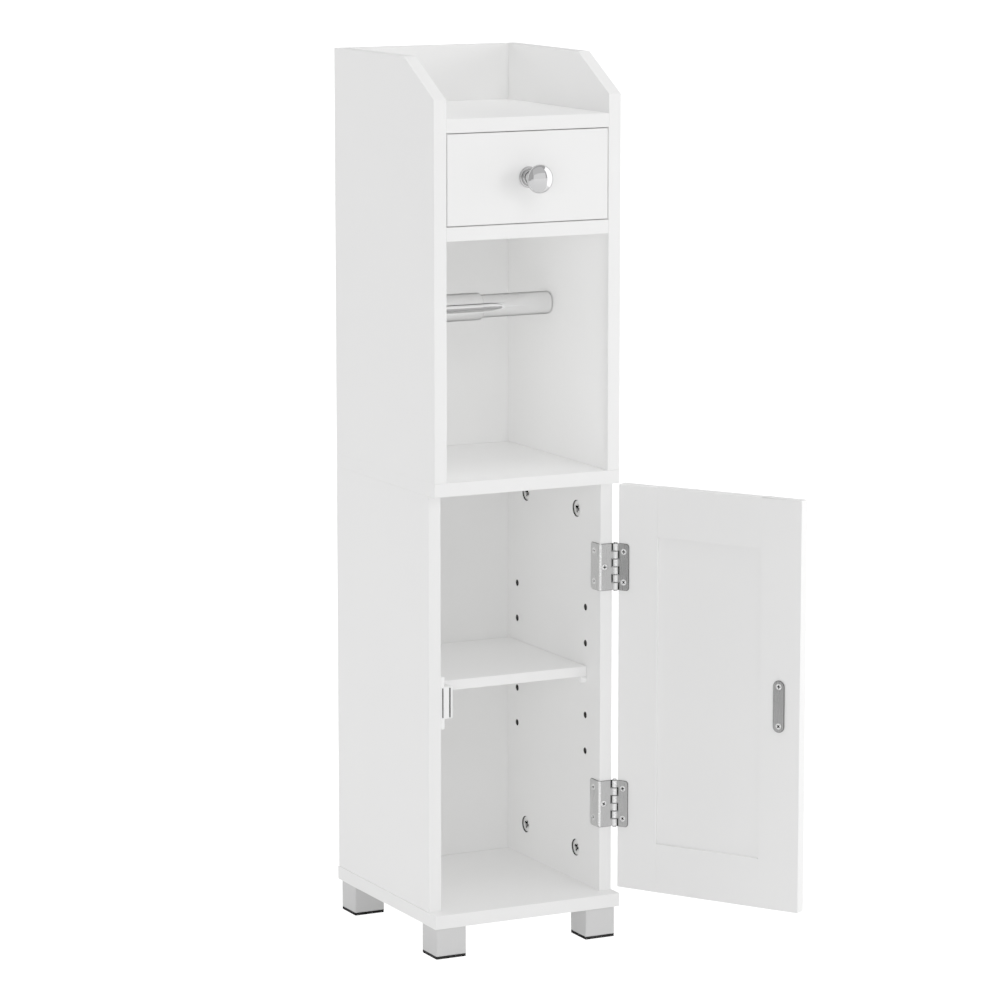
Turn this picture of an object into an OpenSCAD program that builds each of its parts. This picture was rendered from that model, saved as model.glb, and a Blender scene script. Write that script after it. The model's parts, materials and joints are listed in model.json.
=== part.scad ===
// Slim free-standing storage cabinet for toilet rolls, in white-faced board.
// From the floor up: feet, a cupboard with a hinged door and one adjustable shelf, an open bay
// with a sprung roll bar, a drawer, and a tray with raised sides.
// Millimetres. X runs to the right, the front faces -Y, the floor is Z = 0.

/* [Carcass] */
// Width over the side panels
cabinet_w = 180; // [170:1:260]
// Depth from the front edges to the back
cabinet_d = 200; // [190:1:300]
// Thickness of the sides, shelves and boards
board_t = 12; // [12:0.5:18]
// Thickness of the two back panels
back_t = 9; // [8:0.5:12]
// How far the bottom board stands out in front
base_front = 2; // [0:0.5:10]
// How far the bottom board stands out at each side
base_side = 1; // [0:0.5:5]

/* [Heights] */
// Clear height of the cupboard
cupboard_h = 368; // [340:1:500]
// Clear height of the open roll bay
roll_bay_h = 207.5; // [180:0.5:260]
// Clear height of the drawer's bay
drawer_bay_h = 80; // [76:1:120]
// Height of the tray's walls
gallery_h = 50; // [40:1:90]
// How far the cut corner of a side runs back from the front
corner_d = 58; // [10:1:120]
// How far the cut corner of a side runs down from the top
corner_h = 33.5; // [10:0.5:36]

/* [Feet] */
// Height of a foot with its pad
foot_h = 28; // [20:1:60]
// Width of the square foot
foot_w = 29; // [24:1:36]
// Distance from the cabinet's outline to the foot
foot_inset = 2; // [0:0.5:8]
// Wall of the hollow foot
foot_wall = 1.6; // [1.2:0.1:3]
// Thickness of the foot's top plate
foot_plate = 3; // [2:0.5:5]
// Thickness of the pad that shows under the foot
pad_t = 2.8; // [1.5:0.1:4]
// Radius of the foot's corners
foot_round = 1.2; // [0.5:0.1:3]

/* [Door] */
// Angle that the door stands open at
door_open = 122; // [0:1:180]
// Thickness of the door
door_t = 11; // [10:0.5:16]
// Gap over and under the door
door_gap = 2.5; // [1:0.5:4]
// How far the cupboard's sides stand back behind the front
side_setback = 12.5; // [12:0.5:20]
// Width of a stile
stile_w = 39; // [34:1:60]
// Height of a rail
rail_h = 44; // [34:1:70]
// Depth of the recess on the outer face
recess_out = 3; // [1:0.5:3.5]
// Depth of the recess on the inner face
recess_in = 2.5; // [1:0.5:3.5]
// How deep the panel and the tenons sit in their grooves
groove_d = 8; // [5:0.5:12]

/* [Hinges] */
// Height of a hinge
hinge_h = 42; // [36:1:60]
// Distance from the door's end to the hinge's middle
hinge_inset = 75; // [50:1:110]
// How far both hinges lie over the places that this distance gives
hinge_rise = 1.5; // [-5:0.5:5]
// Thickness of a leaf
leaf_t = 0.9; // [0.7:0.1:1.2]
// Play between the two leaves of the closed hinge
leaf_gap = 0.2; // [0.2:0.1:0.6]
// Diameter of the barrel
barrel_d = 4.6; // [4.2:0.1:5]
// Diameter of the pin
hinge_pin_d = 2.2; // [1.8:0.1:2.6]
// Number of knuckles
knuckles = 6; // [4:2:8]
// How far the barrel's axis stands out from the side's outer face
barrel_out = 2.5; // [2.5:0.1:3.5]
// Length of the flange on the side's inner face
flange_l = 16.5; // [14:0.5:20]
// Width of the leaf on the door
door_leaf_w = 11; // [10:0.5:16]
// Half the distance between the two screws of a leaf
leaf_screw_z = 13.6; // [11:0.1:15]

/* [Shelf] */
// Thickness of the adjustable shelf
shelf_t = 9; // [8:0.5:14]
// Gap at each end of the shelf
shelf_gap = 0.5; // [0.5:0.5:2]
// Distance from the cabinet's front to the shelf
shelf_front = 36.5; // [34:0.5:39]
// Gap between the shelf and the back panel
shelf_rear = 4; // [1:0.5:10]
// Diameter of a shelf pin
shelf_pin_d = 6; // [4:0.5:6]
// Length of a pin that the shelf lies on
shelf_pin_out = 5.5; // [5:0.5:10]
// Depth of a pin hole
shelf_hole_depth = 8; // [6:0.5:9]
// Number of pin holes in a row
hole_rows = 5; // [3:2:7]
// Distance between two pin holes
hole_pitch = 32.5; // [25:0.5:35]
// Height of the lowest pin hole over the cupboard's floor
hole_first = 122; // [100:1:140]
// Distance of the pin holes from the side's front and rear edges
hole_edge = 27.5; // [26:0.5:35]

/* [Drawer] */
// Gap all round the drawer's front
drawer_gap = 1; // [0.5:0.5:2]
// Gap between the drawer's box and the cabinet's side
drawer_side_gap = 1.5; // [1:0.5:3]
// Thickness of the drawer's sides and back
drawer_wall = 9; // [8:0.5:12]
// Thickness of the drawer's bottom
drawer_floor = 3; // [2.5:0.5:4]
// Height of the drawer's box
drawer_box_h = 60; // [50:1:70]
// Gap between the drawer's box and the back panel that stops it
drawer_rear_gap = 0.5; // [0.4:0.1:6]
// Height of the bottom's groove over the sides' lower edges
drawer_groove_z = 6; // [4:0.5:10]
// Depth of the bottom's groove
drawer_groove_d = 4; // [3:0.5:5]

/* [Knob] */
// Diameter of the knob's head
knob_d = 24.5; // [20:0.5:34]
// Height of the knob
knob_h = 27.5; // [22:0.5:34]
// Diameter of the flange on the drawer's front
knob_base_d = 18.5; // [14:0.5:24]
// Diameter of the knob's neck
knob_neck_d = 10; // [8:0.5:12]

/* [Roll bar] */
// Height of the bar's axis over the bay's floor
bar_z = 136; // [90:1:150]
// Distance of the bar's axis behind the middle of the depth
bar_back = 11.5; // [-20:0.5:20]
// Diameter of the sleeve
sleeve_d = 24.5; // [23:0.5:28]
// Diameter of the tube that slides in the sleeve
tube_d = 20.5; // [18:0.5:21]
// Wall of the sliding tube
tube_wall = 1.5; // [1.2:0.1:2]
// How far the sleeve reaches past the middle of the cabinet
sleeve_past = 8.1; // [-10:0.1:15]
// How far the bar can be pressed together
bar_travel = 8; // [6:0.5:10]
// Diameter of the nub at each end
nub_d = 8; // [6:0.5:10]
// Length of a nub in its hole
nub_l = 5; // [4:0.5:6]
// Length of the spring inside the bar
spring_l = 25; // [20:1:35]

/* [Catch] */
// Width of the catch across the door
catch_w = 11.3; // [11:0.1:16]
// Height of the catch's housing
catch_h = 28; // [24:1:36]
// Depth of the catch
catch_d = 17; // [14:0.5:20]
// Height of the flange behind the housing
catch_flange_h = 46; // [44:1:56]
// How far the catch's middle lies over the door's middle
catch_rise = 1.2; // [-3:0.1:3]
// Thickness of that flange
catch_flange_t = 3.4; // [2:0.1:4]
// Distance from the side to the middle of the first pole plate
pole_first = 1.7; // [1.6:0.1:2.4]
// Distance between the two pole plates
pole_pitch = 6.9; // [6:0.1:8]
// Length of the strike plate
strike_l = 46; // [40:1:60]
// Width of the strike plate
strike_w = 11; // [9:0.5:14]
// Distance from the door's free edge to the middle of the strike plate
strike_inset = 20; // [18:0.5:22]

/* [Fittings] */
// Diameter of a cam lock
cam_d = 15; // [12:0.5:15]
// Depth of a cam lock
cam_depth = 9.1; // [8.6:0.1:9.2]
// How far a cam lock lies under the side's inner face
cam_recess = 0.9; // [0.2:0.1:1.2]
// Distance of a cam lock from the board that it pulls
cam_end = 30; // [24:1:40]
// Distance of a cam lock from the side's front and rear edges
cam_edge = 45; // [42:1:55]
// Diameter of a cam bolt
bolt_d = 6; // [5:0.5:6]
// Diameter of a shelf dowel
dowel_d = 6; // [5:0.5:8]
// Diameter of the thinner dowels of the back panels and the drawer
thin_dowel_d = 5; // [4:0.5:5]
// Distance of the shelf dowels from the front and the back panel
shelf_dowel_edge = 40; // [30:1:60]
// Distance of the back panels' dowels from the boards
back_dowel_end = 50; // [30:1:70]
// Height of the tray's dowels over the top shelf
tray_dowel_z = 20; // [12:1:25]
// Height of the drawer's lower dowels over the sides' lower edges
drawer_dowel_low = 20; // [16:1:24]
// Distance of the drawer's upper dowels from the sides' upper edges
drawer_dowel_high = 14; // [8:1:18]
// Distance of the screws between the two halves from the front and the back
carcass_screw_edge = 20; // [15:1:40]
// Length of those screws in the upper sides
carcass_screw_in = 26; // [16:1:40]
// Diameter of the small screws' shanks
screw_d = 3; // [2.5:0.1:3.2]
// Diameter of the small screws' heads
screw_head_d = 5.8; // [5:0.1:6.4]

/* [Clearances] */
// Radial play of a fastener, dowel or pin in its hole
fastener_play = 0.05; // [0.03:0.01:0.1]
// Radial play of a running fit: hinge pin, nub, sliding tube
running_play = 0.08; // [0.04:0.01:0.1]
// Gap between loose parts that rest on each other
rest_gap = 0.3; // [0.2:0.1:0.5]

/* [Hidden] */
$fn = 64;

// Colours
board_white = "#f1f1f0";
plastic_white = "#e9e9e6";
bright_metal = "#c9c9c7";
satin_metal = "#b4b4b2";
dark_steel = "#6e6e6e";
pad_black = "#1c1c1c";
raw_wood = "#cdb083";

// Planes of the carcass
half_w = cabinet_w / 2;
front_y = -cabinet_d / 2;
back_y = cabinet_d / 2;
inner_x = half_w - board_t;
middle_x = half_w - board_t / 2;
panel_y = back_y - back_t;
side_y = front_y + side_setback;
cupboard_z = foot_h + board_t;
mid_z = cupboard_z + cupboard_h;
bay_z = mid_z + board_t;
divider_z = bay_z + roll_bay_h;
drawer_z = divider_z + board_t;
shelf_z = drawer_z + drawer_bay_h;
tray_z = shelf_z + board_t;
top_z = tray_z + gallery_h;

// Fasteners
eps = 0.5;
screw_head_h = 1.6;
screw_tip = 2;
cross_w = 0.9;
cross_depth = 1;
star_r = 3.2;
star_waist = 1.1;
star_turn = 20;
cam_play = 0.3;
cam_ys = [side_y + cam_edge, back_y - cam_edge];
bolt_grip = 9;
bolt_head_d = bolt_d + 0.4;
bolt_hole_d = bolt_d + 0.8;
dowel_in_board = 13;
dowel_in_side = 8;
thin_in_board = 9;
thin_in_side = 6;
end_play = 0.4;
carcass_screw_d = 4;
carcass_screw_head_d = 7.6;
carcass_screw_head_h = 2.4;
carcass_screw_l = board_t + carcass_screw_in;
carcass_screw_ys = [front_y + carcass_screw_edge, back_y - carcass_screw_edge];
shelf_dowel_ys = [front_y + shelf_dowel_edge, panel_y - shelf_dowel_edge];
back_dowel_zs = [
    cupboard_z + back_dowel_end, mid_z - back_dowel_end,
    bay_z + back_dowel_end, divider_z - back_dowel_end,
    tray_z + tray_dowel_z
];

// Shelf and its pins
pin_ys = [side_y + hole_edge, back_y - hole_edge];
pin_row = floor(hole_rows / 2);
pin_z = cupboard_z + hole_first + pin_row * hole_pitch;
shelf_bottom = pin_z + shelf_pin_d / 2 + rest_gap;

// Drawer
drawer_front_t = board_t;
box_x = inner_x - drawer_side_gap;
box_in_x = box_x - drawer_wall;
box_y = front_y + drawer_front_t;
box_end_y = panel_y - drawer_rear_gap;
box_z = drawer_z + rest_gap;
knob_z = drawer_z + drawer_bay_h / 2;
knob_screw_d = 4;
knob_screw_head_d = 8;
knob_screw_head_h = 2.4;
knob_screw_in = 11;
drawer_dowel_zs = [box_z + drawer_dowel_low, box_z + drawer_box_h - drawer_dowel_high];

// Door, drawn closed and then swung open about the hinges' axis
hinge_x = half_w + barrel_out;
hinge_y = side_y - leaf_t - leaf_gap / 2;
door_in_y = side_y - 2 * leaf_t - leaf_gap;
door_out_y = door_in_y - door_t;
door_z0 = cupboard_z + door_gap;
door_z1 = mid_z - door_gap;
door_mid_z = (door_z0 + door_z1) / 2;
lower_hinge_z = door_z0 + hinge_inset + hinge_rise;
upper_hinge_z = door_z1 - hinge_inset + hinge_rise;
panel_t = door_t - recess_in - recess_out;
panel_in_y = door_in_y - recess_in;
tongue = groove_d - 0.3;
groove_play = 0.1;
stile_in_x = half_w - stile_w;

// Hinge
knuckle_h = hinge_h / knuckles;
knuckle_gap = 0.3;
leaf_clear = 1.4;
leaf_end_x = hinge_x - barrel_d / 2 - leaf_clear;
leaf_round = 3;
front_screw_x = inner_x + board_t / 3;
flange_screw_y = side_y + flange_l - 6;
door_screw_x = half_w - door_leaf_w / 2;
hinge_screw_l = 9;

// Catch
catch_x = -inner_x;
pole_t = 0.9;
pole_play = 0.1;
catch_z = door_mid_z + catch_rise;
pole_h = catch_h - 2;
pole_y = side_y - 0.5;
pole_d = catch_d - 3;
magnet_h = catch_h - 8;
magnet_y = side_y + 2;
catch_screw_z = catch_flange_h / 2 - 4;
strike_t = 1.2;
strike_x = strike_inset - half_w;
strike_screw_z = strike_l / 2 - strike_w / 2;
strike_screw_l = 7;

// Roll bar, along X
bar_axis_z = bay_z + bar_z;
bar_end_x = inner_x - rest_gap;
sleeve_bore_d = tube_d + 2 * running_play;
sleeve_cap = 2.5;
tube_cap = 2;
tube_round = 2.5;
nub_hole_depth = nub_l + 1;
tube_in_x = -bar_end_x + sleeve_cap + spring_l;
spring_d = tube_d - 3;
spring_wire = 1.2;
flute_depth = 2.3;
flute_r = 5;
flute_wall = 1.2;
flute_full_x = sleeve_past + bar_travel;
flute_runout = 12;

// ---- Small helpers -------------------------------------------------------------------------

// A box between two opposite corners
module block(low, high) {
    translate(low) cube(high - low);
}

// Round rods along X, Y and Z
module rod_x(d, x0, x1, y, z) {
    translate([x0, y, z]) rotate([0, 90, 0]) cylinder(d = d, h = x1 - x0);
}

module rod_y(d, y0, y1, x, z) {
    translate([x, y1, z]) rotate([90, 0, 0]) cylinder(d = d, h = y1 - y0);
}

module rod_z(d, z0, z1, x, y) {
    translate([x, y, z0]) cylinder(d = d, h = z1 - z0);
}

// The same thing at the right and, mirrored, at the left
module both_sides() {
    children();
    mirror([1, 0, 0]) children();
}

// Countersunk screw: the head's top lies at the origin and faces +Z
module screw(head_d, shank_d, head_h, length) {
    difference() {
        rotate_extrude() polygon([
            [0, 0], [head_d / 2, 0], [shank_d / 2, -head_h],
            [shank_d / 2, -length + screw_tip], [0, -length]
        ]);
        for (turn = [0, 90])
            rotate([0, 0, turn + 20])
                translate([-head_d * 0.3, -cross_w / 2, -cross_depth])
                    cube([head_d * 0.6, cross_w, cross_depth + eps]);
    }
}

// The hole that a countersunk screw sits in
module screw_hole(head_d, shank_d, head_h, length) {
    play = fastener_play;
    rotate_extrude() polygon([
        [0, eps], [head_d / 2 + play, eps], [head_d / 2 + play, 0],
        [shank_d / 2 + play, -head_h], [shank_d / 2 + play, -length - play], [0, -length - play]
    ]);
}

module small_screw(length) screw(screw_head_d, screw_d, screw_head_h, length);

module small_screw_hole(length) screw_hole(screw_head_d, screw_d, screw_head_h, length);

// Flat outline from x = 0 to w, h high, with both corners at the far end rounded
module tab(w, h, r) {
    translate([0, -h / 2]) square([w - r, h]);
    translate([w - r - eps, -h / 2 + r]) square([r + eps, h - 2 * r]);
    for (side = [-1, 1])
        translate([w - r, side * (h / 2 - r)]) circle(r = r);
}

// Flat square outline with rounded corners
module soft_square(w, r) {
    square([w - 2 * r, w], center = true);
    square([w, w - 2 * r], center = true);
    for (x = [-1, 1], y = [-1, 1])
        translate([x * (w / 2 - r), y * (w / 2 - r)]) circle(r = r);
}

// ---- Places of the fasteners ---------------------------------------------------------------

// The right side's cam locks; -Z is the way to the board that each one pulls
module at_cams() {
    for (y = cam_ys) {
        translate([inner_x, y, cupboard_z + cam_end]) children();
        translate([inner_x, y, mid_z - cam_end]) mirror([0, 0, 1]) children();
    }
}

module cam_pocket() {
    rod_x(cam_d + cam_play, -eps, cam_recess + cam_depth + cam_play, 0, 0);
    rod_z(bolt_hole_d, -cam_end - eps, 0, board_t / 2, 0);
}

module at_pin_holes(rows) {
    for (y = pin_ys, row = rows)
        translate([inner_x, y, cupboard_z + hole_first + row * hole_pitch]) children();
}

// Dowels of the two shelves at the right end
module at_shelf_dowels() {
    for (y = shelf_dowel_ys, z = [divider_z, shelf_z])
        translate([inner_x, y, z + board_t / 2]) children();
}

// Dowels of the back panels at the right
module at_back_dowels() {
    for (z = back_dowel_zs)
        translate([inner_x, back_y - back_t / 2, z]) children();
}

module dowel_hole(d, in_board, in_side) {
    rod_x(d + 2 * fastener_play, -in_board - end_play, in_side + end_play, 0, 0);
}

module at_carcass_screws() {
    for (y = carcass_screw_ys)
        translate([middle_x, y, mid_z]) rotate([180, 0, 0]) children();
}

module carcass_screw_hole() {
    screw_hole(carcass_screw_head_d, carcass_screw_d, carcass_screw_head_h, carcass_screw_l);
}

module at_feet() {
    for (x = [-1, 1], y = [-1, 1])
        translate([x * (half_w - foot_inset - foot_w / 2), y * (back_y - foot_inset - foot_w / 2), 0])
            children();
}

module foot_screw_place() {
    translate([0, 0, foot_h - foot_plate]) rotate([180, 0, 0]) children();
}

// Screws of one cabinet leaf, about the hinge's middle height
module at_leaf_screws() {
    for (side = [-1, 1])
        translate([inner_x - leaf_t, flange_screw_y, side * leaf_screw_z])
            rotate([0, -90, 0]) children();
    translate([front_screw_x, side_y - leaf_t, 0]) rotate([90, 0, 0]) children();
}

// Screws of one door leaf, on the closed door
module at_door_leaf_screws() {
    for (side = [-1, 1])
        translate([door_screw_x, door_in_y + leaf_t, side * leaf_screw_z])
            rotate([-90, 0, 0]) children();
}

module at_hinges() {
    for (z = [lower_hinge_z, upper_hinge_z])
        translate([0, 0, z]) children();
}

module at_strike_screws() {
    for (side = [-1, 1])
        translate([strike_x, door_in_y + strike_t, door_mid_z + side * strike_screw_z])
            rotate([-90, 0, 0]) children();
}

module at_catch_screws() {
    for (side = [-1, 1])
        translate([catch_x + catch_flange_t, side_y + catch_d / 2, catch_z + side * catch_screw_z])
            rotate([0, 90, 0]) children();
}

// ---- Carcass -------------------------------------------------------------------------------

module bottom_board() {
    color(board_white) difference() {
        block([-half_w - base_side, front_y - base_front, foot_h],
              [half_w + base_side, back_y, cupboard_z]);
        both_sides() for (y = cam_ys)
            rod_z(bolt_d + 2 * fastener_play, cupboard_z - bolt_grip - end_play, cupboard_z + eps,
                  middle_x, y);
        at_feet() foot_screw_place() small_screw_hole(foot_plate + board_t - 4);
    }
}

module mid_board() {
    color(board_white) difference() {
        block([-half_w, front_y, mid_z], [half_w, back_y, bay_z]);
        both_sides() {
            for (y = cam_ys)
                rod_z(bolt_d + 2 * fastener_play, mid_z - eps, mid_z + bolt_grip + end_play, middle_x, y);
            at_carcass_screws() carcass_screw_hole();
        }
    }
}

// A board between the upper sides, with dowel holes in both ends
module fixed_shelf(z) {
    difference() {
        block([-inner_x, front_y, z], [inner_x, panel_y, z + board_t]);
        both_sides() at_shelf_dowels() dowel_hole(dowel_d, dowel_in_board, dowel_in_side);
    }
}

module divider_board() color(board_white) fixed_shelf(divider_z);

module top_shelf() color(board_white) fixed_shelf(shelf_z);

// The cupboard's right side without the holes for hinges or catch
module lower_side_blank() {
    difference() {
        block([inner_x, side_y, cupboard_z], [half_w, back_y, mid_z]);
        at_cams() cam_pocket();
        at_pin_holes([0 : hole_rows - 1])
            rod_x(shelf_pin_d + 2 * fastener_play, -eps, shelf_hole_depth + end_play, 0, 0);
        at_back_dowels() dowel_hole(thin_dowel_d, thin_in_board, thin_in_side);
    }
}

module lower_right_side() {
    color(board_white) difference() {
        lower_side_blank();
        at_hinges() at_leaf_screws() small_screw_hole(hinge_screw_l);
    }
}

module lower_left_side() {
    color(board_white) difference() {
        mirror([1, 0, 0]) lower_side_blank();
        at_catch_screws() small_screw_hole(hinge_screw_l);
    }
}

// The upper right side, with its cut corner and a blind hole for the roll bar's nub
module upper_side_blank() {
    difference() {
        translate([inner_x, 0, 0]) rotate([90, 0, 90]) linear_extrude(board_t) polygon([
            [front_y, bay_z], [back_y, bay_z], [back_y, top_z],
            [front_y + corner_d, top_z], [front_y, top_z - corner_h]
        ]);
        at_shelf_dowels() dowel_hole(dowel_d, dowel_in_board, dowel_in_side);
        at_back_dowels() dowel_hole(thin_dowel_d, thin_in_board, thin_in_side);
        at_carcass_screws() carcass_screw_hole();
        rod_x(nub_d + 2 * running_play, inner_x - eps, inner_x + nub_hole_depth, bar_back, bar_axis_z);
    }
}

module upper_right_side() color(board_white) upper_side_blank();

module upper_left_side() color(board_white) mirror([1, 0, 0]) upper_side_blank();

// A panel between the sides, with dowel holes in both edges
module back_panel(z0, z1) {
    difference() {
        block([-inner_x, panel_y, z0], [inner_x, back_y, z1]);
        both_sides() at_back_dowels() dowel_hole(thin_dowel_d, thin_in_board, thin_in_side);
    }
}

module lower_back_panel() color(board_white) back_panel(cupboard_z, mid_z);

module upper_back_panel() color(board_white) back_panel(bay_z, top_z);

// ---- Joining fittings ----------------------------------------------------------------------

// Round cam with a four-pointed recess and a channel that takes the bolt's head
module cam_locks() {
    color(satin_metal) both_sides() at_cams() difference() {
        rod_x(cam_d, cam_recess, cam_recess + cam_depth, 0, 0);
        rod_z(bolt_hole_d, -cam_d, 4, board_t / 2, 0);
        rotate([star_turn, 0, 0]) rotate([90, 0, 90])
            linear_extrude(cam_recess + cross_depth) polygon([
                for (i = [0 : 7])
                    let (reach = i % 2 == 0 ? star_r : star_waist)
                        reach * [cos(45 * i), sin(45 * i)]
            ]);
    }
}

module cam_bolts() {
    r = bolt_d / 2;
    color(satin_metal) both_sides() at_cams() translate([board_t / 2, 0, 0])
        rotate_extrude() polygon([
            [0, 3], [r, 3], [bolt_head_d / 2, 2], [bolt_head_d / 2, 0], [r * 0.6, -1],
            [r * 0.6, -4], [r, -5], [r, -cam_end - bolt_grip + 1], [0, -cam_end - bolt_grip]
        ]);
}

module shelf_dowels() {
    color(raw_wood) both_sides() at_shelf_dowels() rod_x(dowel_d, -dowel_in_board, dowel_in_side, 0, 0);
}

module back_dowels() {
    color(raw_wood) both_sides() at_back_dowels() rod_x(thin_dowel_d, -thin_in_board, thin_in_side, 0, 0);
}

// Screws up through the mid board into the upper sides
module carcass_screws() {
    color(satin_metal) both_sides() at_carcass_screws()
        screw(carcass_screw_head_d, carcass_screw_d, carcass_screw_head_h, carcass_screw_l);
}

// ---- Feet ----------------------------------------------------------------------------------

module feet() {
    color(bright_metal) at_feet() difference() {
        translate([0, 0, pad_t]) linear_extrude(foot_h - pad_t) soft_square(foot_w, foot_round);
        block([-foot_w / 2 + foot_wall, -foot_w / 2 + foot_wall, pad_t - eps],
              [foot_w / 2 - foot_wall, foot_w / 2 - foot_wall, foot_h - foot_plate]);
        foot_screw_place() small_screw_hole(foot_plate + board_t - 4);
    }
}

// Pad with a plug that fits inside the hollow foot
module foot_pads() {
    plug = foot_w / 2 - foot_wall - 0.2;
    color(pad_black) at_feet() {
        linear_extrude(pad_t) soft_square(foot_w, foot_round);
        block([-plug, -plug, pad_t - eps], [plug, plug, pad_t + 5]);
    }
}

module foot_screws() {
    color(satin_metal) at_feet() foot_screw_place() small_screw(foot_plate + board_t - 4);
}

// ---- Adjustable shelf ----------------------------------------------------------------------

module adjustable_shelf() {
    color(board_white)
        block([-inner_x + shelf_gap, front_y + shelf_front, shelf_bottom],
              [inner_x - shelf_gap, panel_y - shelf_rear, shelf_bottom + shelf_t]);
}

module shelf_pins() {
    color(plastic_white) both_sides() at_pin_holes([pin_row]) {
        rod_x(shelf_pin_d, -shelf_pin_out + 1, shelf_hole_depth, 0, 0);
        rod_x(shelf_pin_d - 1, -shelf_pin_out, 0, 0, 0);
    }
}

// ---- Drawer --------------------------------------------------------------------------------

// The bottom's groove, cut into the front, the sides and the back
module drawer_groove() {
    reach = drawer_groove_d;
    block([-box_in_x - reach, box_y - reach, box_z + drawer_groove_z],
          [box_in_x + reach, box_end_y - drawer_wall + reach,
           box_z + drawer_groove_z + drawer_floor + 2 * groove_play]);
}

module at_drawer_front_dowels() {
    for (z = drawer_dowel_zs)
        translate([box_x - drawer_wall / 2, box_y, z]) children();
}

module at_drawer_back_dowels() {
    for (z = drawer_dowel_zs)
        translate([box_in_x, box_end_y - drawer_wall / 2, z]) children();
}

module drawer_dowel_holes() {
    d = thin_dowel_d + 2 * fastener_play;
    both_sides() {
        at_drawer_front_dowels() rod_y(d, -thin_in_side - end_play, thin_in_board + end_play, 0, 0);
        at_drawer_back_dowels() rod_x(d, -thin_in_board - end_play, thin_in_side + end_play, 0, 0);
    }
}

module drawer_dowels() {
    color(raw_wood) both_sides() {
        at_drawer_front_dowels() rod_y(thin_dowel_d, -thin_in_side, thin_in_board, 0, 0);
        at_drawer_back_dowels() rod_x(thin_dowel_d, -thin_in_board, thin_in_side, 0, 0);
    }
}

module drawer_front() {
    color(board_white) difference() {
        block([-inner_x + drawer_gap, front_y, drawer_z + drawer_gap],
              [inner_x - drawer_gap, box_y, shelf_z - drawer_gap]);
        drawer_groove();
        drawer_dowel_holes();
        rod_y(knob_screw_d + 2 * fastener_play, front_y - eps, box_y + eps, 0, knob_z);
    }
}

module drawer_side() {
    difference() {
        block([box_in_x, box_y, box_z], [box_x, box_end_y, box_z + drawer_box_h]);
        drawer_groove();
        drawer_dowel_holes();
    }
}

module drawer_right_side() color(board_white) drawer_side();

module drawer_left_side() color(board_white) mirror([1, 0, 0]) drawer_side();

module drawer_back() {
    color(board_white) difference() {
        block([-box_in_x, box_end_y - drawer_wall, box_z],
              [box_in_x, box_end_y, box_z + drawer_box_h]);
        drawer_groove();
        drawer_dowel_holes();
    }
}

module drawer_bottom() {
    reach = drawer_groove_d - 0.3;
    z = box_z + drawer_groove_z + groove_play;
    color(board_white)
        block([-box_in_x - reach, box_y - reach, z],
              [box_in_x + reach, box_end_y - drawer_wall + reach, z + drawer_floor]);
}

// Turned knob: flange, waisted neck, and a head with a thin rim and a domed face
module drawer_knob() {
    rim = knob_h * 0.8;
    r = knob_d / 2;
    base = knob_base_d / 2;
    neck = knob_neck_d / 2;
    bore = knob_screw_d / 2 + fastener_play;
    depth = knob_screw_in + end_play;
    color(bright_metal) translate([0, front_y, knob_z]) rotate([90, 0, 0])
        rotate_extrude() polygon(concat(
            [[0, depth], [bore, depth], [bore, 0], [base, 0], [base, 1.2], [base - 0.8, 2],
             [neck + 2.6, 2.4], [neck + 1.2, 3.2]],
            [for (a = [0 : 15 : 90]) [neck + 1.2 - sin(a) * 1.2, 3.2 + (1 - cos(a)) * 4]],
            [for (a = [0 : 15 : 75]) [neck + (1 - cos(a)) * (r - neck), rim * 0.42 + sin(a) * rim * 0.42]],
            [[r - 0.6, rim - 1.6], [r, rim - 0.9], [r, rim]],
            [for (a = [10 : 10 : 90]) [r * cos(a), rim + (knob_h - rim) * sin(a)]]
        ));
}

// Pan-head screw from inside the drawer into the knob
module drawer_knob_screw() {
    r = knob_screw_d / 2;
    head = knob_screw_head_d / 2;
    reach = drawer_front_t + knob_screw_in;
    color(satin_metal) translate([0, box_y, knob_z]) rotate([-90, 0, 0]) difference() {
        rotate_extrude() polygon([
            [0, knob_screw_head_h], [head * 0.6, knob_screw_head_h], [head, knob_screw_head_h * 0.5],
            [head, 0], [r, 0], [r, -reach + 1], [0, -reach]
        ]);
        for (turn = [0, 90])
            rotate([0, 0, turn + 10])
                block([-head * 0.55, -cross_w / 2, knob_screw_head_h - 1.2],
                      [head * 0.55, cross_w / 2, knob_screw_head_h + eps]);
    }
}

// ---- Door ----------------------------------------------------------------------------------

// Swings what is drawn on the closed door to the angle that the door stands open at
module swung() {
    translate([hinge_x, hinge_y, 0]) rotate([0, 0, door_open]) translate([-hinge_x, -hinge_y, 0])
        children();
}

// The groove round the panel, which also takes the rails' tenons
module door_groove() {
    block([-stile_in_x - groove_d, panel_in_y - panel_t - groove_play, door_z0 - eps],
          [stile_in_x + groove_d, panel_in_y + groove_play, door_z1 + eps]);
}

// The right stile of the closed door; the hinges' screws go into it
module stile() {
    difference() {
        block([stile_in_x, door_out_y, door_z0], [half_w, door_in_y, door_z1]);
        door_groove();
    }
}

module door_hinge_stile() {
    color(board_white) swung() difference() {
        stile();
        at_hinges() at_door_leaf_screws() small_screw_hole(hinge_screw_l);
    }
}

module door_free_stile() {
    color(board_white) swung() difference() {
        mirror([1, 0, 0]) stile();
        at_strike_screws() small_screw_hole(strike_screw_l);
    }
}

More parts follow.
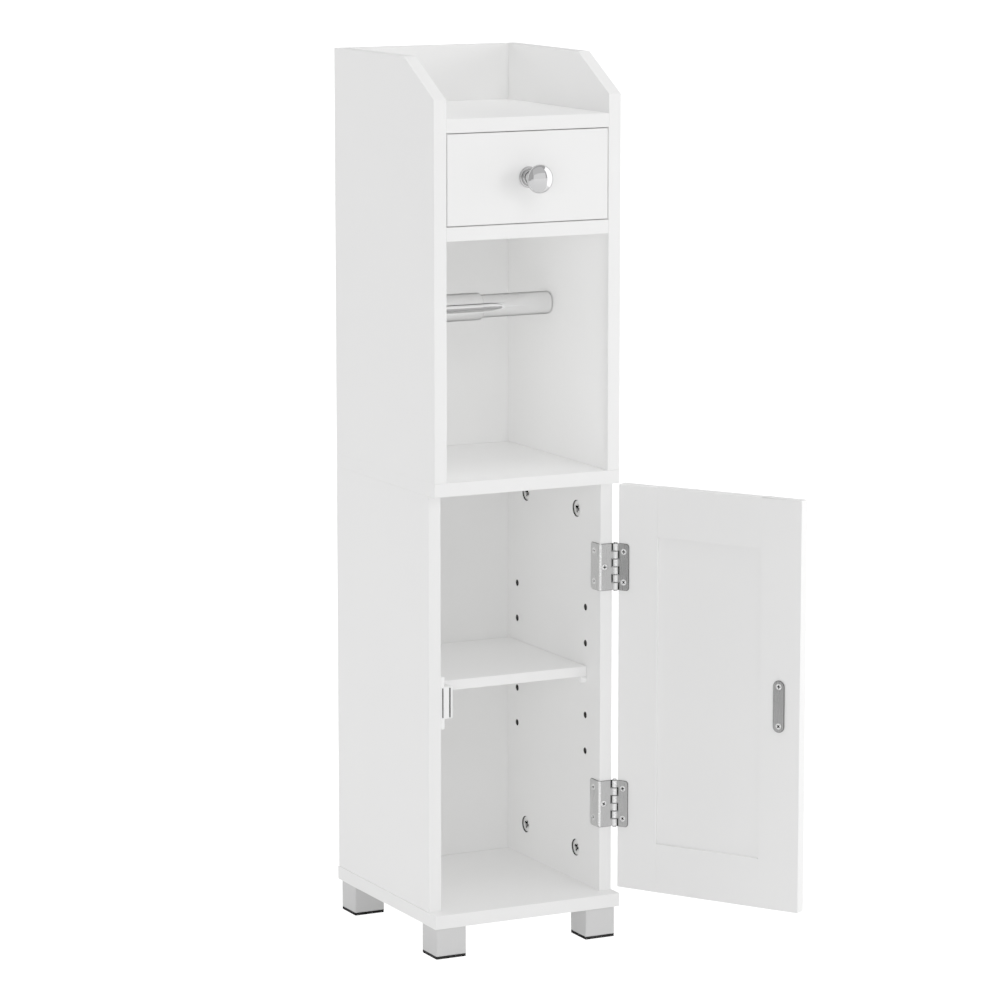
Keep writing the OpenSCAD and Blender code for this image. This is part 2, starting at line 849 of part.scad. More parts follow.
// A rail between the stiles, grooved along its inner edge, with a tenon at each end
module rail() {
    difference() {
        union() {
            block([-stile_in_x, door_out_y, door_z0], [stile_in_x, door_in_y, door_z0 + rail_h]);
            block([-stile_in_x - tongue, panel_in_y - panel_t, door_z0],
                  [stile_in_x + tongue, panel_in_y, door_z0 + rail_h - groove_d]);
        }
        block([-half_w, panel_in_y - panel_t - groove_play, door_z0 + rail_h - groove_d],
              [half_w, panel_in_y + groove_play, door_z0 + rail_h + eps]);
    }
}

module door_bottom_rail() color(board_white) swung() rail();

module door_top_rail() {
    color(board_white) swung()
        translate([0, 0, 2 * door_mid_z]) mirror([0, 0, 1]) rail();
}

module door_panel() {
    color(board_white) swung()
        block([-stile_in_x - tongue, panel_in_y - panel_t, door_z0 + rail_h - tongue],
              [stile_in_x + tongue, panel_in_y, door_z1 - rail_h + tongue]);
}

module strike_plate() {
    color(satin_metal) swung() difference() {
        translate([strike_x, door_in_y + strike_t, door_mid_z]) rotate([90, 0, 0])
            linear_extrude(strike_t) {
                square([strike_w, strike_l - strike_w], center = true);
                for (side = [-1, 1])
                    translate([0, side * strike_screw_z]) circle(d = strike_w);
            }
        at_strike_screws() small_screw_hole(strike_screw_l);
    }
}

module strike_screws() {
    color(bright_metal) swung() at_strike_screws() small_screw(strike_screw_l);
}

// ---- Magnetic catch, on the left side -------------------------------------------------------

// Middle of a pole plate across the door, and the plate with some play round it
function pole_x(i) = catch_x + pole_first + i * pole_pitch;

module pole(i, play) {
    block([pole_x(i) - pole_t / 2 - play, pole_y, catch_z - pole_h / 2 - play],
          [pole_x(i) + pole_t / 2 + play, pole_y + pole_d + play, catch_z + pole_h / 2 + play]);
}

module catch_magnet_body(play) {
    block([pole_x(0) + pole_t / 2 + 0.1 - play, magnet_y - play, catch_z - magnet_h / 2 - play],
          [pole_x(1) - pole_t / 2 - 0.1 + play, pole_y + pole_d, catch_z + magnet_h / 2 + play]);
}

module catch_housing() {
    color(plastic_white) difference() {
        union() {
            block([catch_x, side_y, catch_z - catch_h / 2],
                  [catch_x + catch_w, side_y + catch_d, catch_z + catch_h / 2]);
            block([catch_x, side_y, catch_z - catch_flange_h / 2],
                  [catch_x + catch_flange_t, side_y + catch_d, catch_z + catch_flange_h / 2]);
        }
        for (i = [0, 1]) pole(i, pole_play);
        catch_magnet_body(pole_play);
        at_catch_screws() small_screw_hole(hinge_screw_l);
    }
}

module catch_pole_plates() {
    color(dark_steel) for (i = [0, 1]) pole(i, 0);
}

module catch_magnet() color(dark_steel) catch_magnet_body(0);

module catch_screws() {
    color(bright_metal) at_catch_screws() small_screw(hinge_screw_l);
}

// ---- Hinges --------------------------------------------------------------------------------

// Whether a knuckle, counted from the top, belongs to the cabinet's leaf
function on_cabinet(i) = i % 2 == 1;

// Knuckles of one leaf, each with the strip of plate that runs into it
module leaf_knuckles(cabinet, plate_y) {
    for (i = [0 : knuckles - 1])
        if (on_cabinet(i) == cabinet) {
            top = hinge_h / 2 - i * knuckle_h - knuckle_gap / 2;
            low = top - knuckle_h + knuckle_gap;
            rod_z(barrel_d, low, top, hinge_x, hinge_y);
            block([leaf_end_x - eps, plate_y, low], [hinge_x - hinge_pin_d / 2 - eps, plate_y + leaf_t, top]);
        }
}

module barrel_bore() {
    rod_z(hinge_pin_d + 2 * running_play, -hinge_h / 2 - eps, hinge_h / 2 + eps, hinge_x, hinge_y);
}

// Wrap-round leaf: flange on the side's inner face, plate on its front edge
module cabinet_leaf() {
    difference() {
        union() {
            translate([inner_x - leaf_t, side_y - leaf_t, 0]) rotate([90, 0, 90])
                linear_extrude(leaf_t) tab(flange_l + leaf_t, hinge_h, leaf_round);
            block([inner_x - leaf_t, side_y - leaf_t, -hinge_h / 2], [leaf_end_x, side_y, hinge_h / 2]);
            leaf_knuckles(true, side_y - leaf_t);
        }
        barrel_bore();
        at_leaf_screws() small_screw_hole(hinge_screw_l);
    }
}

// Flat leaf on the door's inner face, drawn on the closed door
module door_leaf() {
    difference() {
        union() {
            translate([leaf_end_x, door_in_y, 0]) rotate([90, 0, 180])
                linear_extrude(leaf_t) tab(leaf_end_x - half_w + door_leaf_w, hinge_h, leaf_round);
            leaf_knuckles(false, door_in_y);
        }
        barrel_bore();
        at_door_leaf_screws() small_screw_hole(hinge_screw_l);
    }
}

// Pin with a head under the lowest knuckle and over the highest one
module hinge_pin() {
    head_h = 0.8;
    translate([hinge_x, hinge_y, 0]) {
        cylinder(d = hinge_pin_d, h = hinge_h + head_h, center = true);
        for (side = [-1, 1])
            translate([0, 0, side * (hinge_h / 2 + head_h / 2)])
                cylinder(d = barrel_d - 0.6, h = head_h, center = true);
    }
}

module upper_hinge_cabinet_leaf() color(satin_metal) translate([0, 0, upper_hinge_z]) cabinet_leaf();

module lower_hinge_cabinet_leaf() color(satin_metal) translate([0, 0, lower_hinge_z]) cabinet_leaf();

module upper_hinge_door_leaf() color(satin_metal) swung() translate([0, 0, upper_hinge_z]) door_leaf();

module lower_hinge_door_leaf() color(satin_metal) swung() translate([0, 0, lower_hinge_z]) door_leaf();

module upper_hinge_pin() color(bright_metal) translate([0, 0, upper_hinge_z]) hinge_pin();

module lower_hinge_pin() color(bright_metal) translate([0, 0, lower_hinge_z]) hinge_pin();

module hinge_cabinet_screws() {
    color(bright_metal) at_hinges() at_leaf_screws() small_screw(hinge_screw_l);
}

module hinge_door_screws() {
    color(bright_metal) swung() at_hinges() at_door_leaf_screws() small_screw(hinge_screw_l);
}

// ---- Roll bar ------------------------------------------------------------------------------

// Cutter for the lengthwise flute at the front of a tube of diameter d, up to x = end
module flute(d, grow, end, runout) {
    out = d / 2 - flute_depth + flute_r;
    rod_x(2 * (flute_r + grow), -half_w, end, -out, 0);
    if (runout > 0)
        translate([end - 1, -out - 0.02, 0]) rotate([0, 0, -atan(flute_depth / runout)])
            rotate([0, 90, 0]) cylinder(r = flute_r - 0.02, h = 2 * runout);
}

// Sleeve at the left: closed end with a nub, fluted wall that keys the tube
module roll_bar_sleeve() {
    left = -bar_end_x;
    color(bright_metal) translate([0, bar_back, bar_axis_z]) difference() {
        union() {
            difference() {
                rod_x(sleeve_d, left, sleeve_past, 0, 0);
                rod_x(sleeve_bore_d, left + sleeve_cap, sleeve_past + eps, 0, 0);
            }
            intersection() {
                rod_x(sleeve_bore_d + 1, left + sleeve_cap / 2, sleeve_past, 0, 0);
                flute(sleeve_d, flute_wall, sleeve_past, 0);
            }
            rod_x(nub_d, left - nub_l, left + sleeve_cap / 2, 0, 0);
        }
        flute(sleeve_d, 0, sleeve_past + eps, 0);
    }
}

// Tube at the right: bored from its inner end, with a nub, a rounded outer end and the flute's runout
module roll_bar_tube() {
    r = tube_d / 2;
    color(bright_metal) translate([0, bar_back, bar_axis_z]) difference() {
        rotate([0, 90, 0]) rotate_extrude() polygon(concat(
            [[0, tube_in_x], [r, tube_in_x]],
            [for (a = [0 : 15 : 90])
                [r - tube_round * (1 - cos(a)), bar_end_x - tube_round * (1 - sin(a))]],
            [[nub_d / 2, bar_end_x], [nub_d / 2, bar_end_x + nub_l], [0, bar_end_x + nub_l]]
        ));
        rod_x(tube_d - 2 * (tube_wall + flute_depth), tube_in_x - eps,
              bar_end_x - tube_round - tube_cap, 0, 0);
        flute(tube_d, 0, flute_full_x, flute_runout);
    }
}

// The spring's envelope: a plain tube of the coil's outer size
module roll_bar_spring() {
    x0 = -bar_end_x + sleeve_cap;
    color(dark_steel) translate([0, bar_back, bar_axis_z]) difference() {
        rod_x(spring_d, x0, x0 + spring_l, 0, 0);
        rod_x(spring_d - 2 * spring_wire, x0 - eps, x0 + spring_l + eps, 0, 0);
    }
}

// ---- Output --------------------------------------------------------------------------------

bottom_board();
mid_board();
divider_board();
top_shelf();
lower_left_side();
lower_right_side();
upper_left_side();
upper_right_side();
lower_back_panel();
upper_back_panel();
cam_locks();
cam_bolts();
shelf_dowels();
back_dowels();
carcass_screws();
feet();
foot_pads();
foot_screws();
adjustable_shelf();
shelf_pins();
drawer_front();
drawer_left_side();
drawer_right_side();
drawer_back();
drawer_bottom();
drawer_dowels();
drawer_knob();
drawer_knob_screw();
door_hinge_stile();
door_free_stile();
door_top_rail();
door_bottom_rail();
door_panel();
strike_plate();
strike_screws();
catch_housing();
catch_pole_plates();
catch_magnet();
catch_screws();
upper_hinge_cabinet_leaf();
upper_hinge_door_leaf();
upper_hinge_pin();
lower_hinge_cabinet_leaf();
lower_hinge_door_leaf();
lower_hinge_pin();
hinge_cabinet_screws();
hinge_door_screws();
roll_bar_sleeve();
roll_bar_tube();
roll_bar_spring();
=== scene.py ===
"""Looks of a slim free-standing toilet roll cabinet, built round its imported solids.

Boards and plates keep the solids' shapes and get the soft edges of the real ones. Knob, roll bar,
spring, screws, pins and cam locks are surfaces worked out from profiles. All lengths are in metres.
"""

import json
import math

import bmesh
import bpy
import numpy as np
from bpy.props import FloatProperty, FloatVectorProperty, IntProperty, PointerProperty
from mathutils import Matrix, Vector

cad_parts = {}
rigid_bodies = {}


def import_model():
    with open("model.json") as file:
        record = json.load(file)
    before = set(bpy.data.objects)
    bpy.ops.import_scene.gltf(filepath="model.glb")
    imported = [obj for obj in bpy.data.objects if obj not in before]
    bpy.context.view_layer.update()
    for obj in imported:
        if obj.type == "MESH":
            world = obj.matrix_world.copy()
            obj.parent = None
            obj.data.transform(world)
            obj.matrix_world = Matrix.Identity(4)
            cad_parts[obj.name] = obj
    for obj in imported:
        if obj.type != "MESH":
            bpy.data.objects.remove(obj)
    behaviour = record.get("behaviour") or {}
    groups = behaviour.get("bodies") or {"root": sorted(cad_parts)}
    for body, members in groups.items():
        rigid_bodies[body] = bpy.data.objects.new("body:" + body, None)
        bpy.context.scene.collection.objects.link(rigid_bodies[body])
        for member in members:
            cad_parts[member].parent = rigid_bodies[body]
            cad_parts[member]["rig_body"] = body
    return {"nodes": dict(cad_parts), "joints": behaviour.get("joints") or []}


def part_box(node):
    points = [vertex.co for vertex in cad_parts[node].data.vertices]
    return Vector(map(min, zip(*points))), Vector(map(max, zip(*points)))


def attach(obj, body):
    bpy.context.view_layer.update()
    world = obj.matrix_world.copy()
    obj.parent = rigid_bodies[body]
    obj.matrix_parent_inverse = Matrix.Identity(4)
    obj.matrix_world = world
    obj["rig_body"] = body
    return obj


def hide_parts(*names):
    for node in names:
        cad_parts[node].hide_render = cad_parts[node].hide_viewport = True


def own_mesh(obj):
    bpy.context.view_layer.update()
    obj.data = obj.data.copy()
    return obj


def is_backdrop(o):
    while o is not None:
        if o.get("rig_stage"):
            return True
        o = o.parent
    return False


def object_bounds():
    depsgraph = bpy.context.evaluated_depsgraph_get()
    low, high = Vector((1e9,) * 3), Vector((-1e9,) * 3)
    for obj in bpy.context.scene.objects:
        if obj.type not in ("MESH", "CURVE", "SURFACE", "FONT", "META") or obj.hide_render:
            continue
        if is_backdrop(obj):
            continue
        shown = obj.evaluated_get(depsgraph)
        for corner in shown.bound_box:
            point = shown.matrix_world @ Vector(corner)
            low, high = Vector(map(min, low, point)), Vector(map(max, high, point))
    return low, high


bl_info = {
    "name": "Toilet roll cabinet",
    "version": (1, 0, 0),
    "blender": (4, 5, 0),
    "location": "View3D > Sidebar > Cabinet",
    "description": "Builds the boards, fittings and studio of a slim toilet roll cabinet",
    "category": "Object",
}

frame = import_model()
cad_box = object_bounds()
MM = 0.001
HAIR = 0.1 * MM  # places closer than this count as one
BEND = 1.5 * MM  # outer radius of a bend in the hinges' sheet
SMOOTH_BELOW = math.radians(35)  # between faces of a new mesh that are shaded as one
ROUND_BELOW = 25  # degrees, the same between faces of the solids
FLAT_BELOW = math.radians(0.4)  # between triangles that are joined into one face
HOLE_WALL_AREA = 100 * MM**2


def srgb(code):
    """Linear red, green, blue and alpha of a hex colour, by the standard curve of sRGB."""
    channels = np.array([int(code[i : i + 2], 16) for i in (1, 3, 5)]) / 255
    low = channels / 12.92
    high = ((channels + 0.055) / 1.055) ** 2.4
    return (*np.where(channels <= 0.04045, low, high).tolist(), 1.0)


# ---- Places, read from the frame ----

JOINTS = {joint["name"]: joint for joint in frame["joints"]}
HINGE_AXIS = np.array(JOINTS["door_hinge"]["pos_m"])
DOOR_TURN = -math.radians(JOINTS["door_hinge"]["range_deg"][0])


def turned(points, angle):
    """Points turned about the door hinges' upright axis by an angle in radians."""
    c, s = math.cos(angle), math.sin(angle)
    turn = np.array([[c, s, 0], [-s, c, 0], [0, 0, 1]])
    return (np.asarray(points, float) - HINGE_AXIS) @ turn + HINGE_AXIS


def closed(points):
    """Points of the open door, taken back to the closed door, whose faces lie along X and Z."""
    return turned(points, -DOOR_TURN)


def as_drawn(points):
    return np.asarray(points, float)


def corners_of(mesh):
    """All corner points of a mesh as one array."""
    points = np.empty(len(mesh.vertices) * 3, np.float32)
    mesh.vertices.foreach_get("co", points)
    return points.reshape(-1, 3).astype(float)


def loose_parts(name):
    """Lowest and highest corner of each solid of a CAD node, the door's in the closed door's frame.

    Corners at one place share a number; every triangle hands its lowest number to its corners until
    nothing changes, so each solid ends up with one number of its own.
    """
    mesh = frame["nodes"][name].data
    mesh.calc_loop_triangles()
    triangles = np.empty(len(mesh.loop_triangles) * 3, np.int32)
    mesh.loop_triangles.foreach_get("vertices", triangles)
    places, number = np.unique(np.round(corners_of(mesh), 6), axis=0, return_inverse=True)
    corner = number.ravel()[triangles].reshape(-1, 3)
    label = np.arange(len(places))
    while True:
        lowest = label.copy()
        np.minimum.at(lowest, corner.ravel(), np.repeat(label[corner].min(axis=1), 3))
        lowest = lowest[lowest]
        if np.array_equal(lowest, label):
            break
        label = lowest
    unfold = closed if frame["nodes"][name]["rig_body"] == "door" else as_drawn
    parts = [unfold(places[label == k]) for k in np.unique(label)]
    return [(part.min(axis=0), part.max(axis=0)) for part in parts]


def placed(rows, origin, outward, swing=False):
    """A grid drawn about +Z, carried so that its origin lies at origin and its +Z points outward.

    The grid's X axis goes to a level direction across outward, and swing opens it with the door.
    """
    z = np.asarray(outward, float)
    x = np.array([1.0, 0, 0]) if abs(z[2]) > 0.5 else np.array([-z[1], z[0], 0])
    y = np.cross(z, x)
    points = rows @ np.array([x, y, z]) + np.asarray(origin, float)
    return turned(points.reshape(-1, 3), DOOR_TURN).reshape(points.shape) if swing else points


# ---- Surfaces ----


def revolved(radius, height, steps):
    """Grid of a profile turned about Z: x = r cos a, y = r sin a, with a going once round."""
    angle = np.linspace(0, 2 * np.pi, steps, endpoint=False)
    radius, height = np.asarray(radius, float), np.asarray(height, float)
    level = np.repeat(height[:, None], steps, axis=1)
    return np.stack([radius[:, None] * np.cos(angle), radius[:, None] * np.sin(angle), level], axis=-1)


def arc(centre, size, start, end, steps):
    """Points on a quarter or other part of an ellipse, from one angle in degrees to another."""
    a = np.radians(np.linspace(start, end, steps))
    return np.stack([centre[0] + size[0] * np.cos(a), centre[1] + size[1] * np.sin(a)], axis=-1)


def finish_mesh(mesh):
    """Closes the poles of a new mesh, turns its faces outwards and smooths its shallow edges."""
    bm = bmesh.new()
    bm.from_mesh(mesh)
    bmesh.ops.remove_doubles(bm, verts=bm.verts, dist=1e-7)
    bmesh.ops.dissolve_degenerate(bm, edges=bm.edges, dist=1e-8)
    bmesh.ops.recalc_face_normals(bm, faces=bm.faces)
    bm.to_mesh(mesh)
    bm.free()
    mesh.polygons.foreach_set("use_smooth", np.ones(len(mesh.polygons), bool))
    mesh.set_sharp_from_angle(angle=SMOOTH_BELOW)


def declare(obj, body, slot, stands_for):
    """Puts a piece into the scene, onto its body, and in the place of its CAD nodes."""
    bpy.context.scene.collection.objects.link(obj)
    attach(obj, body)
    if stands_for:
        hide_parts(*stands_for)
    return obj


def piece(name, grids, material, body, slot, *stands_for, others=(), marks=()):
    """One object from grids of points. In a grid each row is a ring that closes on itself.

    Face (i, j) joins points (i, j), (i, j+1), (i+1, j+1) and (i+1, j); a ring of equal points is a pole.
    Marks is one table for each grid: 0 for faces of the first material, 1 and up for the others.
    """
    points, faces, first = [], [], 0
    for rows in grids:
        count, around = rows.shape[:2]
        index = first + np.arange(count * around).reshape(count, around)
        after = np.roll(index, -1, axis=1)
        quads = np.stack([index[:-1], after[:-1], after[1:], index[1:]], axis=-1)
        points.append(rows.reshape(-1, 3))
        faces.append(quads.reshape(-1, 4))
        first += count * around
    mesh = bpy.data.meshes.new(name)
    mesh.from_pydata(np.concatenate(points), [], np.concatenate(faces))
    mesh.materials.append(material)
    if others:
        for other in others:
            mesh.materials.append(other)
        index = np.concatenate([mark.ravel() for mark in marks]).astype(np.int32)
        mesh.polygons.foreach_set("material_index", index)
    finish_mesh(mesh)
    return declare(bpy.data.objects.new(name, mesh), body, slot, stands_for)


def hole_walls(centres, areas, low, high):
    """Faces that are walls of drilled holes: small ones inside the node's box."""
    depth = np.minimum(centres - low, high - centres).min(axis=1)
    return (depth > HAIR) & (areas < HOLE_WALL_AREA)


def softened(
    node, radius, material, slot, shortest=0.0, least=60, weigh=None, second=None, chosen=hole_walls,
    rolled=None, rim=None
):
    """A copy of a CAD node with rounded outer edges, which stands for the node.

    Loose triangles are merged and flat faces joined. Each edge that turns outwards by more than least
    degrees and is longer than shortest is rounded by radius, or by the share of it that weigh gives for
    the edge's middle. The faces that chosen picks take the second material, and so do the edges that
    rolled picks, which are rounded like a bend in sheet metal. The rounded edges take the material rim.
    """
    source = frame["nodes"][node]
    mesh = source.data.copy()
    mesh.name = node + "_finished"
    mesh.materials.clear()
    mesh.materials.append(material)
    body = source["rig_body"]
    unfold = closed if body == "door" else as_drawn
    corners = unfold(corners_of(mesh))
    low, high = corners.min(axis=0), corners.max(axis=0)
    bm = bmesh.new()
    bm.from_mesh(mesh)
    bmesh.ops.remove_doubles(bm, verts=bm.verts, dist=0.002 * MM)
    bmesh.ops.dissolve_limit(bm, angle_limit=FLAT_BELOW, verts=bm.verts, edges=bm.edges)

    def middle(edge):
        return unfold([(edge.verts[0].co + edge.verts[1].co) / 2])[0]

    if second:
        mesh.materials.append(second)
        centres = unfold([face.calc_center_median() for face in bm.faces])
        areas = np.array([face.calc_area() for face in bm.faces])
        for face, picked in zip(bm.faces, chosen(centres, areas, low, high)):
            face.material_index = int(picked)
    if rolled:
        bend = [edge for edge in bm.edges if rolled(middle(edge))]
        bmesh.ops.bevel(
            bm, geom=bend, offset=BEND, offset_type="OFFSET", segments=5, profile=0.5, affect="EDGES",
            material=1,
        )
    weight = bm.edges.layers.float.new("bevel_weight_edge")
    for edge in bm.edges:
        turn = math.degrees(edge.calc_face_angle_signed(0))
        if turn > least and edge.calc_length() >= shortest:
            edge[weight] = weigh(middle(edge)) if weigh else 1.0
        edge.smooth = edge[weight] > 0 or abs(turn) < ROUND_BELOW
    for face in bm.faces:
        face.smooth = True
    bm.to_mesh(mesh)
    bm.free()
    obj = declare(bpy.data.objects.new(mesh.name, mesh), body, slot, [node])
    bevel = obj.modifiers.new("Soft edges", "BEVEL")
    bevel.width = radius
    bevel.segments = 3
    bevel.limit_method = "WEIGHT"
    bevel.use_clamp_overlap = False
    if rim:
        mesh.materials.append(rim)
        bevel.material = len(mesh.materials) - 1
    flat = obj.modifiers.new("Flat faces", "WEIGHTED_NORMAL")
    flat.mode = "FACE_AREA"
    flat.weight = 100
    flat.keep_sharp = True
    return obj


# ---- Materials ----

DRAWN = (60, 1, 1)  # how a pattern is stretched along X on drawn tube
DARK_RIM = srgb("#6a6a6a")  # edge tint that paints a dark reflection where chrome turns away
FLANGE_END = 78 * MM  # from the cabinet's middle plane; nickel short of it is painted paler, beyond it darker


def node(tree, kind, links=(), **settings):
    """Adds a node: settings are its own properties, links are (socket, value or other node's output)."""
    made = tree.nodes.new(kind)
    for key, value in settings.items():
        setattr(made, key, value)
    for socket, value in links:
        if isinstance(value, bpy.types.NodeSocket):
            tree.links.new(value, made.inputs[socket])
        else:
            made.inputs[socket].default_value = value
    return made


def material(name, **constants):
    """A material with one Principled shader; constants are set on the shader's own sockets."""
    made = bpy.data.materials.new(name)
    made.use_nodes = True
    shader = made.node_tree.nodes["Principled BSDF"]
    for key, value in constants.items():
        shader.inputs[key.replace("_", " ")].default_value = value
    return made, made.node_tree, shader


def pattern(tree, size, stretch=(1, 1, 1), detail=2):
    """Noise in Object coordinates whose blotches are about size metres across, longer along stretch."""
    place = node(tree, "ShaderNodeTexCoord").outputs["Object"]
    scale = tuple(1 / s for s in stretch)
    mapping = node(tree, "ShaderNodeMapping", [("Vector", place), ("Scale", scale)])
    links = [("Vector", mapping.outputs[0]), ("Scale", 0.5 / size), ("Detail", detail)]
    return node(tree, "ShaderNodeTexNoise", links).outputs["Fac"]


def spread(tree, shader, socket, value, low, high):
    """Sends a pattern, which mostly lies from 0.3 to 0.7, to a socket, spread between low and high."""
    links = [("Value", value), ("From Min", 0.3), ("From Max", 0.7), ("To Min", low), ("To Max", high)]
    ranged = node(tree, "ShaderNodeMapRange", links)
    tree.links.new(ranged.outputs["Result"], shader.inputs[socket])


def blend(tree, value, one, other):
    """Colour between two hex colours by a pattern."""
    links = [("Factor", value), (6, srgb(one)), (7, srgb(other))]
    return node(tree, "ShaderNodeMix", links, data_type="RGBA").outputs[2]


def tint(tree, shader, value, one, other):
    """Colours the shader by a pattern between two hex colours."""
    tree.links.new(blend(tree, value, one, other), shader.inputs["Base Color"])


def relief(tree, shader, *layers):
    """Bumps the shader by patterns, each with its height in metres."""
    normal = None
    for value, height in layers:
        links = [("Height", value), ("Distance", height), ("Strength", 1.0)]
        if normal:
            links.append(("Normal", normal))
        normal = node(tree, "ShaderNodeBump", links).outputs[0]
    tree.links.new(normal, shader.inputs["Normal"])


def grained(name, size, one, other, gloss=None, height=0, stretch=(1, 1, 1), detail=3, **constants):
    """A material whose colour, roughness and relief follow one pattern, between two hex colours.

    Gloss is its lowest and highest roughness and height the depth of its relief, where it has them.
    """
    made, tree, shader = material(name, **constants)
    grain = pattern(tree, size, stretch, detail)
    tint(tree, shader, grain, one, other)
    if gloss:
        spread(tree, shader, "Roughness", grain, *gloss)
    if height:
        relief(tree, shader, (grain, height))
    return made


def faced_board(look):
    """Chipboard faced with white melamine film, pressed against a finely grained plate.

    The eye gets an even cool white with a soft sheen. The press grain, 0.3 mm on the real board, is too
    fine to show and is drawn at 0.9 mm, very shallow.
    """
    made, tree, shader = material("White melamine-faced chipboard")
    clouds = pattern(tree, 60 * MM, detail=3)
    tint(tree, shader, clouds, "#f8f8f7", "#f5f5f5")
    least, most = look.roughness - 0.04, look.roughness + 0.04
    spread(tree, shader, "Roughness", pattern(tree, 8 * MM), least, most)
    relief(tree, shader, (pattern(tree, look.grain), look.grain_depth), (clouds, 0.02 * MM))
    return made


def bored_core_painted_shade():
    """The board's own core where a drill has gone through the film: pressed chips, dull and uneven,
    painted nearly black as the shade inside the holes.
    """
    look = "#1d1c1b", "#2f2e2c", None, 0.15 * MM
    return grained("Drilled chipboard core", 1.2 * MM, *look, detail=4, Roughness=0.85)


def beech():
    """Turned beech dowels: straight brown rays along the dowel, dull."""
    look = "#c4a273", "#dcc195", None, 0.05 * MM, (8, 1, 1), 4
    return grained("Turned beech", 0.8 * MM, *look, Roughness=0.7)


def polished_chrome():
    """Chrome plate on a polished zinc knob: a mirror with the faintest polishing waves. Its dark edge
    tint paints a dark reflection as a rim where it turns away.
    """
    made, tree, shader = material(
        "Polished chrome plate", Metallic=1.0, Specular_Tint=DARK_RIM, Base_Color=srgb("#d9d9da")
    )
    spread(tree, shader, "Roughness", pattern(tree, 3 * MM, detail=3), 0.05, 0.1)
    relief(tree, shader, (pattern(tree, 6 * MM), 0.03 * MM))
    return made


def satin_chrome():
    """Satin chrome plate on moulded ABS tube: bright grey, drawn lines along X too fine to show on the
    real one (0.05 mm), here 0.4 mm across.
    """
    look = "#e2e2e2", "#e9e9e9", (0.14, 0.22), 0.004 * MM, DRAWN, 2
    # DARK_RIM paints a dark reflection along the tube's silhouettes
    return grained("Satin chrome-plated ABS", 0.4 * MM, *look, Metallic=1.0, Specular_Tint=DARK_RIM)


def nickelled_steel():
    """Rolled steel sheet with satin nickel plate: a soft mirror with upright rolling lines, with a dark
    edge tint that paints a dark reflection where it turns away. The flanges inside the cupboard, up to
    FLANGE_END, are painted paler, and the leaves and strike plate beyond it darker: painted light and shade.
    """
    # dark edge tint: a painted dark reflection where the sheet turns away
    tinted = srgb("#5c5c5c")
    made, tree, shader = material("Nickel-plated rolled steel", Metallic=1.0, Specular_Tint=tinted)
    lines = pattern(tree, 0.35 * MM, (1, 1, 40))
    place = node(tree, "ShaderNodeTexCoord").outputs["Object"]
    across = node(tree, "ShaderNodeSeparateXYZ", [(0, place)]).outputs[0]
    # painted light and shade: paler nickel on the flanges, darker beyond FLANGE_END
    outer = node(tree, "ShaderNodeMath", [(0, across), (1, FLANGE_END)], operation="GREATER_THAN")
    pale, dull = blend(tree, lines, "#dedede", "#e6e6e6"), blend(tree, lines, "#a8a8a8", "#b2b2b2")
    links = [("Factor", outer.outputs[0]), (6, pale), (7, dull)]
    both = node(tree, "ShaderNodeMix", links, data_type="RGBA")
    tree.links.new(both.outputs[2], shader.inputs["Base Color"])
    spread(tree, shader, "Roughness", lines, 0.24, 0.32)
    relief(tree, shader, (lines, 0.004 * MM))
    return made


def highlit_nickel():
    """Nickel plate whitened on a bend or a rolled knuckle as a painted highlight: paler than the flat sheet.
    """
    return grained("Rubbed nickel plate", 0.8 * MM, "#fafafa", "#ffffff", (0.2, 0.3), Metallic=0.3)


def bright_zinc():
    """Zinc plate on a small screw's head, matt and painted nearly white as the heads' highlight."""
    return grained("Pale zinc plate", 0.9 * MM, "#f8f8f8", "#ffffff", (0.25, 0.4), Metallic=0.1)


def painted_shade_chrome():
    """A darker grey copy of the chrome, painted as shade in the bar's hollow and on the knob's step, neck
    and rim.
    """
    look = "#9c9c9c", "#a6a6a6", (0.14, 0.22), 0, DRAWN, 2
    return grained("Thin grey chrome plate", 0.4 * MM, *look, Metallic=1.0)


def zinc_plated_steel():
    """Pressed and rolled steel with bright zinc plate, as on screws: brighter than the leaves, slightly
    uneven gloss.
    """
    look = "#cfcfcf", "#dddddd", (0.14, 0.3), 0.01 * MM
    return grained("Bright zinc-plated steel", 0.8 * MM, *look, Metallic=1.0)


def cast_zinc():
    """Die-cast zinc, tumbled: pale grey with a dull, faintly pitted skin."""
    look = "#ececeb", "#f6f6f5", (0.36, 0.5), 0.03 * MM
    return grained("Tumbled die-cast zinc", 0.7 * MM, *look, detail=4, Metallic=0.6)


def blackened_steel_and_painted_shade():
    """Steel strip and spring wire, blackened: dark with a low oily sheen. The same dark steel is
    painted as shade into crosses, cam rims, beside the hinge knuckles, on the knob's rim line, in the
    bar's hollow and on the rounded edges of the hinge leaves and strike plate.
    """
    return grained("Blackened steel", 1.5 * MM, "#161616", "#222222", (0.32, 0.5), Metallic=1.0)


def silver_abs():
    """Moulded ABS in silver lacquer: an even light grey with tiny flakes and a satin skin."""
    look = "#c9c9c9", "#d1d1d1", (0.3, 0.4), 0.006 * MM
    return grained("Silver-lacquered ABS", 0.5 * MM, *look, detail=1, Metallic=0.35)


def black_pad():
    """Moulded black rubber: nearly black, dull, with a fine mould grain."""
    look = "#050505", "#0b0b0b", None, 0.03 * MM, (1, 1, 1), 2
    return grained("Moulded black rubber", 0.6 * MM, *look, Roughness=0.8, Specular_IOR_Level=0.2)


def moulded_white():
    """White moulded ABS of the catch and the shelf pins, with a fine spark-eroded grain."""
    look = "#fafafa", "#ffffff", (0.32, 0.42), 0.01 * MM
    return grained("White moulded ABS", 0.5 * MM, *look, detail=2)


